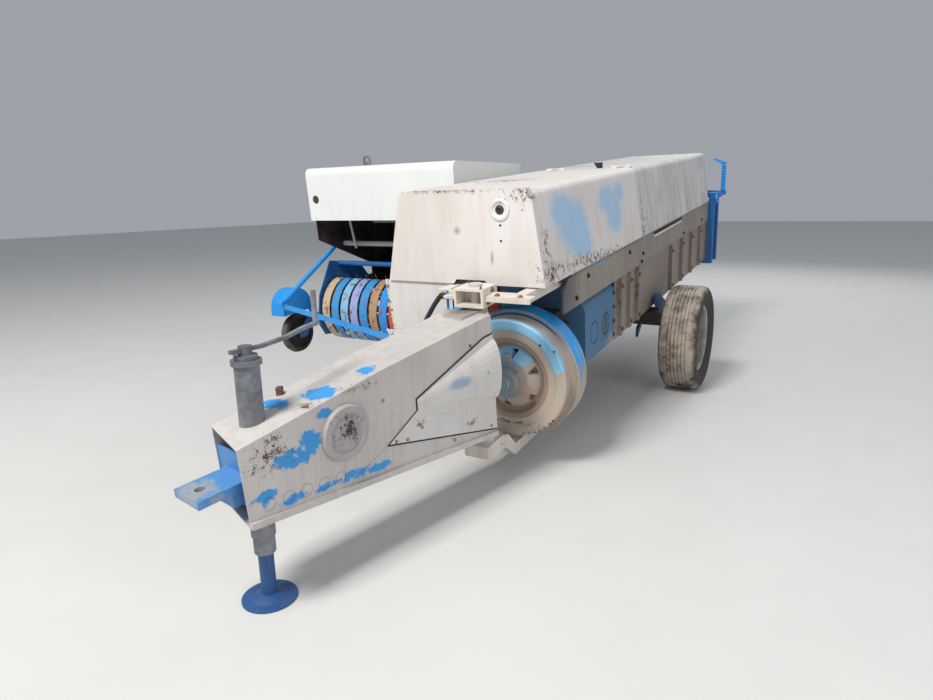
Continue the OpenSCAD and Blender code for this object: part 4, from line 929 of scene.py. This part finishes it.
# Painted shade: dark discs stand for the shadow inside holes and slots
hole = turned("hole_pattern", 14, [(5.6, -0.4), (5.6, 0.2), (4.4, 0.5), (3.8, -0.3)])
fit(hole, "hood_holes", "front_hood", "dark_steel", [(57, NOSE, 1331), (57, NOSE, 1265)], "front")
post = turned("lock_post_pattern", 24, [(20, -0.8), (20.5, 0.8), (16, 1.6), (13, 3.6), (8, 4.2),
                                        (6, 2.5), (3, 2.4)])
fit(post, "hood_lock_post", "front_hood", "dark_steel", LOCK_AT, "front")
SLOTS_XZ = ((83, 335), (110, 341), (139, 349), (163, 364), (187, 381), (219, 405), (234, 422))
slots = [(x, WHEEL_FACE, z) for x, z in SLOTS_XZ]
fit(hole, "flywheel_slots", "flywheel", "dark_steel", slots, "front")
studs = [(250, WHEEL_FACE, 761), (180, WHEEL_FACE, 783)]
fit(rivet, "flywheel_bolts", "flywheel", "rusty_steel", studs, "front")
print("lock faces:", len(lock.data.polygons))

# %% [markdown]
# ## Small turned parts
# Two grease nipples sit by the drawbar's pivot, a valve stem on each rim, and a dust cap
# closes each hub. A short square stub stands on the drawbar beside the jack, a nut sits
# on the shaft before the flywheel's clutch, and a roller disc on each side at the rear.

# %% Nipples, stub, nut and rollers
nipple = turned("nipple_pattern", 12, [(6, 0), (6, 4), (3.5, 5), (3.5, 9), (4.6, 10.5), (3, 13.5),
                                       (1.4, 14)])
fit(nipple, "nipples_frame", "root", "rusty_steel", [(35, -2020, 1090), (-75, -1925, 1090)])
stub = turned("stub_pattern", 4, [(15, 0), (15.5, 2), (15.5, 24), (13, 27), (6, 28)])
fit(stub, "drawbar_stub", "drawbar", "rusty_steel", [(-84, -951, 904)], on=bar)
nut = turned("shaft_nut_pattern", 6, [(25, 0), (26, 2), (26, 20), (23, 24), (15, 24.5), (14, 34),
                                      (11, 37), (4, 37.5)])
fit(nut, "shaft_nut", "flywheel", "green_nut", [(FLY_X, -1858.5, FLY_Z)], "front")
roller = turned("roller_pattern", 32, [(20, 0), (20, 8), (40, 9), (43, 12), (43, 24), (40, 27),
                                       (30, 27), (28, 23), (18, 23), (16, 30), (8, 31)])
fit(roller, "rear_rollers_left", "root", "works_blue", [(293.6, 1813, 1092)], "left")
fit(roller, "rear_rollers_right", "root", "works_blue", [(-293.6, 1813, 1092)], "right")
print("roller faces:", len(roller.data.polygons))

# %% Wheel hubs and valves
cap = turned("hub_cap_pattern", 28, [(40, 0), (42, 3), (42, 10), (37, 13), (35, 32), (31, 38),
                                     (20, 41), (6, 42)])
valve = turned("valve_pattern", 12, [(7, 0), (7, 3), (4.5, 5), (4.2, 30), (5.4, 31), (5.4, 40),
                                     (3, 42)])
# A valve stands 165 mm above the left hub and 132 mm above the right one
WHEEL_PARTS = (
    (cap, "left", "hub_cap", "rusty_steel", (505, 0, 345)),
    (cap, "right", "hub_cap", "rusty_steel", (-1440, 0, 310)),
    (valve, "left", "valve", "dark_steel", (435, 0, 345 + 165)),
    (valve, "right", "valve", "dark_steel", (-1392, 0, 310 + 132)),
)
for pattern, side, name, finish, at in WHEEL_PARTS:
    fit(pattern, f"{side}_{name}", f"{side}_wheel", finish, [at], side, upright)
print("wheel parts:", len(WHEEL_PARTS))

# %% [markdown]
# ## Seams and trims
# The drawbar's cover is a separate sheet, and the joint round it shows as a thin dark
# line: painted shade of the narrow gap at the cover's edge. It is laid as narrow dark
# rounded strips from corner to corner.
# A folded crease runs on from the cover's front corner to the lower edge. The same
# strips make the dark joint below the rear hood, painted shade in the gap below the
# front hood, the white trim below the rear one, and a blue strap that hangs from the
# front frame.


# %% Strips from one place to another
def seam(name, body, finish, corners, wide, thick, outwards, on=machine):
    """Strips from corner to corner over a face that looks outwards, joined into one piece."""
    made = []
    for start, end in zip(corners, corners[1:]):
        start, end = Vector(start), Vector(end)
        along = (end - start).normalized()
        long = (end - start).length + wide * 0.6
        piece = strip(name, long, wide, thick, min(wide, thick) * 0.3)
        turn = Matrix((along.cross(outwards), along, outwards)).transposed().to_4x4()
        piece.data.transform(on @ Matrix.Translation((start + end) / 2000) @ turn)
        made.append(piece)
    wear(joined(made, name), finish, body)


LEFTWARDS, FORWARDS = Vector((1, 0, 0)), Vector((0, -1, 0))
COVER_TOP = ((-53, 909), (-107, 905.5), (-518, 777), (-518, 731), (-677, 652))
CREASE = ((-680, 650), (-862, 585))
# Name, body, finish, face, ends as (y, z), width, thickness, matrix
SEAMS = (
    # Painted shade: dark strips for the shadow in the narrow gap round the drawbar's cover
    ("cover_seam", "drawbar", "seal_and_gap_shade", BAR_FACE, COVER_TOP, 5, 3.5, bar),
    ("cover_seam_low", "drawbar", "seal_and_gap_shade", BAR_FACE, ((-677, 652), (-53, 477)), 5, 3.5, bar),
    ("drawbar_crease", "drawbar", "drawbar_grey", BAR_FACE, CREASE, 4, 1.2, bar),
    ("hood_joint", "root", "seal_and_gap_shade", RAIL_FACE, ((-70, 1052), (720, 1052)), 26, 2.5, machine),
    ("hood_trim", "root", "white_paint", RAIL_FACE, ((-60, 1028), (705, 1028)), 11, 4, machine),
    # Painted shade: a dark strip for the shadow in the gap below the front hood
    ("hood_gap", "root", "seal_and_gap_shade", RAIL_FACE, ((-1690, 1060), (-75, 1060)), 10, 2, machine),
)
for name, body, finish, face_x, ends, wide, thick, on in SEAMS:
    seam(name, body, finish, [(face_x, *end) for end in ends], wide, thick, LEFTWARDS, on)
STRAP = [(-168, -1960, 1058), (-168, -1960, 915)]
seam("latch_strap", "root", "works_blue", STRAP, 13, 3, FORWARDS)
print("seams:", len(SEAMS) + 1)

# %% [markdown]
# ## Folded brackets
# The bow's flat bar ends in a folded sheet that hangs from the nose panel's corner. It
# starts as a flat strip, its lower end is drawn in, and its edge is folded by drawing
# the outer faces out. A small black bracket on the hood's joint is made the same way.

# %% Folded sheet
SHEET = 0.004


def folded(name, wide, high, fold, narrow):
    """An upright sheet, narrowed at its foot, one edge folded towards Y, in millimetres."""
    bpy.ops.object.select_all(action="DESELECT")
    bpy.ops.mesh.primitive_cube_add(size=1)
    piece = bpy.context.object
    piece.name = name
    edge_x = wide / 2000
    pick(piece)
    bpy.ops.transform.resize(value=(wide / 1000, SHEET, high / 1000), center_override=(0, 0, 0))
    pick(piece, lambda middle, way: way.z < -MOSTLY)
    bpy.ops.transform.resize(value=(narrow, 1, 1), center_override=(edge_x, 0, 0))
    pick(piece, lambda middle, way: way.x > MOSTLY)
    bpy.ops.mesh.extrude_region_move(TRANSFORM_OT_translate={"value": (SHEET, 0, 0)})
    pick(piece, lambda middle, way: way.y > MOSTLY and middle.x > edge_x)
    bpy.ops.mesh.extrude_region_move(TRANSFORM_OT_translate={"value": (0, fold / 1000, 0)})
    pick(piece)
    bpy.ops.mesh.bevel(offset=0.0012, segments=2, affect="EDGES")
    return finished()


bracket = folded("bracket_pattern", 92, 130, 40, 0.35)
fit(bracket, "bow_bracket", "root", "pale_grey", [(-560, -1861, 757)])
clip = folded("clip_pattern", 46, 34, 22, 0.5)
fit(clip, "hood_clip", "root", "dark_steel", [(-37, -352, 1497.5)])
print("bracket faces:", len(bracket.data.polygons))

# %% [markdown]
# ## Hose
# The hose is rubber with a woven layer, so it bends in one smooth curve. It follows the
# same route as its CAD solid and has a crimped ferrule at its upper end.


# %% Round bar and hose along a route
def tube(name, route, radius, smooth=True):
    """A round tube along a route in millimetres, closed at both ends, as a mesh."""
    line = bpy.data.curves.new(name, "CURVE")
    line.dimensions = "3D"
    line.bevel_depth = radius / 1000
    line.bevel_resolution = 4
    line.use_fill_caps = True
    path = line.splines.new("BEZIER" if smooth else "POLY")
    points = path.bezier_points if smooth else path.points
    points.add(len(route) - 1)
    for point, at in zip(points, route):
        if smooth:
            point.co = place(*at)
            point.handle_left_type = point.handle_right_type = "AUTO"
        else:
            point.co = (*place(*at), 1)
    piece = bpy.data.objects.new(name, line)
    bpy.context.collection.objects.link(piece)
    bpy.ops.object.select_all(action="DESELECT")
    piece.select_set(True)
    bpy.context.view_layer.objects.active = piece
    bpy.ops.object.convert(target="MESH")
    return finished(40)


# %% Smooth hose and its ferrule
HOSE_R = 11
HOSE_ROUTE = [
    (-165.3, -1985, 1041), (-185, -1985, 1040), (-215, -1983, 1012), (-255, -1972, 965),
    (-300, -1948, 915), (-340, -1910, 870), (-375, -1875, 838), (-398, -1861.3, 815),
    (-420, -1861.3, 790),
]
hose = tube("hose", HOSE_ROUTE, HOSE_R)
wear(hose, "hose", "root")
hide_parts("hydraulic_hose")
ferrule = turned("ferrule_pattern", 18, [
    (11.6, 0), (12.8, 1.5), (12.8, 6), (11.9, 7.5), (12.8, 9), (12.8, 15), (11.9, 16.5),
    (12.8, 18), (12.8, 25), (11.2, 27),
])
fit(ferrule, "hose_ferrule", "root", "dark_steel", [(-165.5, -1985, 1041)], "right")
print("hose faces:", len(hose.data.polygons))

# %% [markdown]
# ## Bent rods
# The twine store's lid has a bent rod to lift it by, and a pale rod hangs under the
# feeder's hood. Round bar is bent cold, so both are tubes along a short route.

# %% Handle and rod
HANDLE_Z = 1160
HANDLE_XY = ((-969, 0), (-985, 0), (-992, 12), (-992, 118), (-985, 130), (-969, 130))
handle = tube("lid_handle", [(x, y, HANDLE_Z) for x, y in HANDLE_XY], 5, smooth=False)
wear(handle, "worn_steel", "twine_lid")
rod = tube("feeder_rod", [(-1560, -930, 1262), (-1500, -960, 1060)], 8)
wear(rod, "pale_grey", "root")
print("handle faces:", len(handle.data.polygons))

# %% [markdown]
# ## Tyres with their tread
# The CAD tyres carry the whole shape but only plain grooves. Here each is spun from its
# section: one closed line from bead to bead, turned about the axle. Then every face of
# a rib is drawn in at its edges and raised, which leaves fine sipes between small
# blocks, as on a worn road tyre. The ribs start a little low, so that the raised blocks
# end just below the true radius.

# %% A tyre's section
# Groove's width and depth, and how low the ribs start, in millimetres
GROOVE, GROOVE_DEEP, RIB_LOW = 4, 7, 2
# Share of the width that is tread
TREAD = 0.66


def tyre_line(outer, bead, wide, ribs):
    """The section as (radius, side) in millimetres, from one bead over the tread to the other."""
    belly = bead + (outer - bead) * 0.45
    wall = [(bead, -0.325), (bead + 4, -0.36), (bead + 10, -0.365), (bead + 14, -0.40),
            (belly, -0.497), (outer - 46, -0.497), (outer - 43, -0.5), (outer - 38, -0.5),
            (outer - 35, -0.492), (outer - 26, -0.482), (outer - 9, -0.43)]
    line = [(radius, share * wide) for radius, share in wall]
    tread = TREAD * wide
    rib = (tread - GROOVE * (ribs - 1)) / ribs
    left, top, floor_r = -tread / 2, outer - RIB_LOW, outer - GROOVE_DEEP
    for number in range(ribs):
        line += [(top, left), (top, left + rib)]
        if number < ribs - 1:
            line += [(floor_r, left + rib + 1), (floor_r, left + rib + GROOVE - 1)]
        left += rib + GROOVE
    return line + [(radius, -share * wide) for radius, share in reversed(wall)]


# %% One spun tyre
def spun_tyre(name, outer, bead, wide, ribs, steps, hub):
    """A tyre about its axle along X, with its ribs cut into blocks."""
    line = tyre_line(outer, bead, wide, ribs)
    bpy.ops.object.select_all(action="DESELECT")
    bpy.ops.mesh.primitive_circle_add(vertices=len(line), radius=0.1, fill_type="NOTHING")
    piece = bpy.context.object
    piece.name = name
    for vertex, (radius, side) in zip(piece.data.vertices, line):
        vertex.co = (side / 1000, 0, radius / 1000)
    bpy.ops.object.mode_set(mode="EDIT")
    bpy.ops.mesh.select_mode(type="VERT")
    bpy.ops.mesh.select_all(action="SELECT")
    bpy.ops.mesh.spin(steps=steps, angle=math.tau, center=(0, 0, 0), axis=(1, 0, 0))
    bpy.ops.mesh.select_all(action="SELECT")
    bpy.ops.mesh.remove_doubles(threshold=0.0002)
    bpy.ops.mesh.normals_make_consistent(inside=False)
    bpy.ops.mesh.select_mode(type="FACE")
    rib_r = (outer - RIB_LOW - 0.6) / 1000
    pick(piece, lambda middle, way: math.hypot(middle.y, middle.z) > rib_r)
    bpy.ops.mesh.inset(thickness=0.0014, depth=0.0019, use_individual=True)
    tyre = finished(32)
    tyre.data.transform(Matrix.Translation(hub))
    return tyre


left_tread = spun_tyre("left_tyre_tread", 345, 203.3, 235, 7, 120, left_hub)
wear(left_tread, "left_tyre", "left_wheel")
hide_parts("left_tyre")
right_tread = spun_tyre("right_tyre_tread", 310, 159.3, 165, 5, 108, right_hub)
wear(right_tread, "right_tyre", "right_wheel")
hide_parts("right_tyre")
print("tyre faces:", len(left_tread.data.polygons), len(right_tread.data.polygons))

# %% [markdown]
# ## Finish
# The patterns that copies were taken from are deleted.

# %% Clear the patterns
for pattern in [piece for piece in bpy.data.objects if "_pattern" in piece.name]:
    bpy.data.objects.remove(pattern)
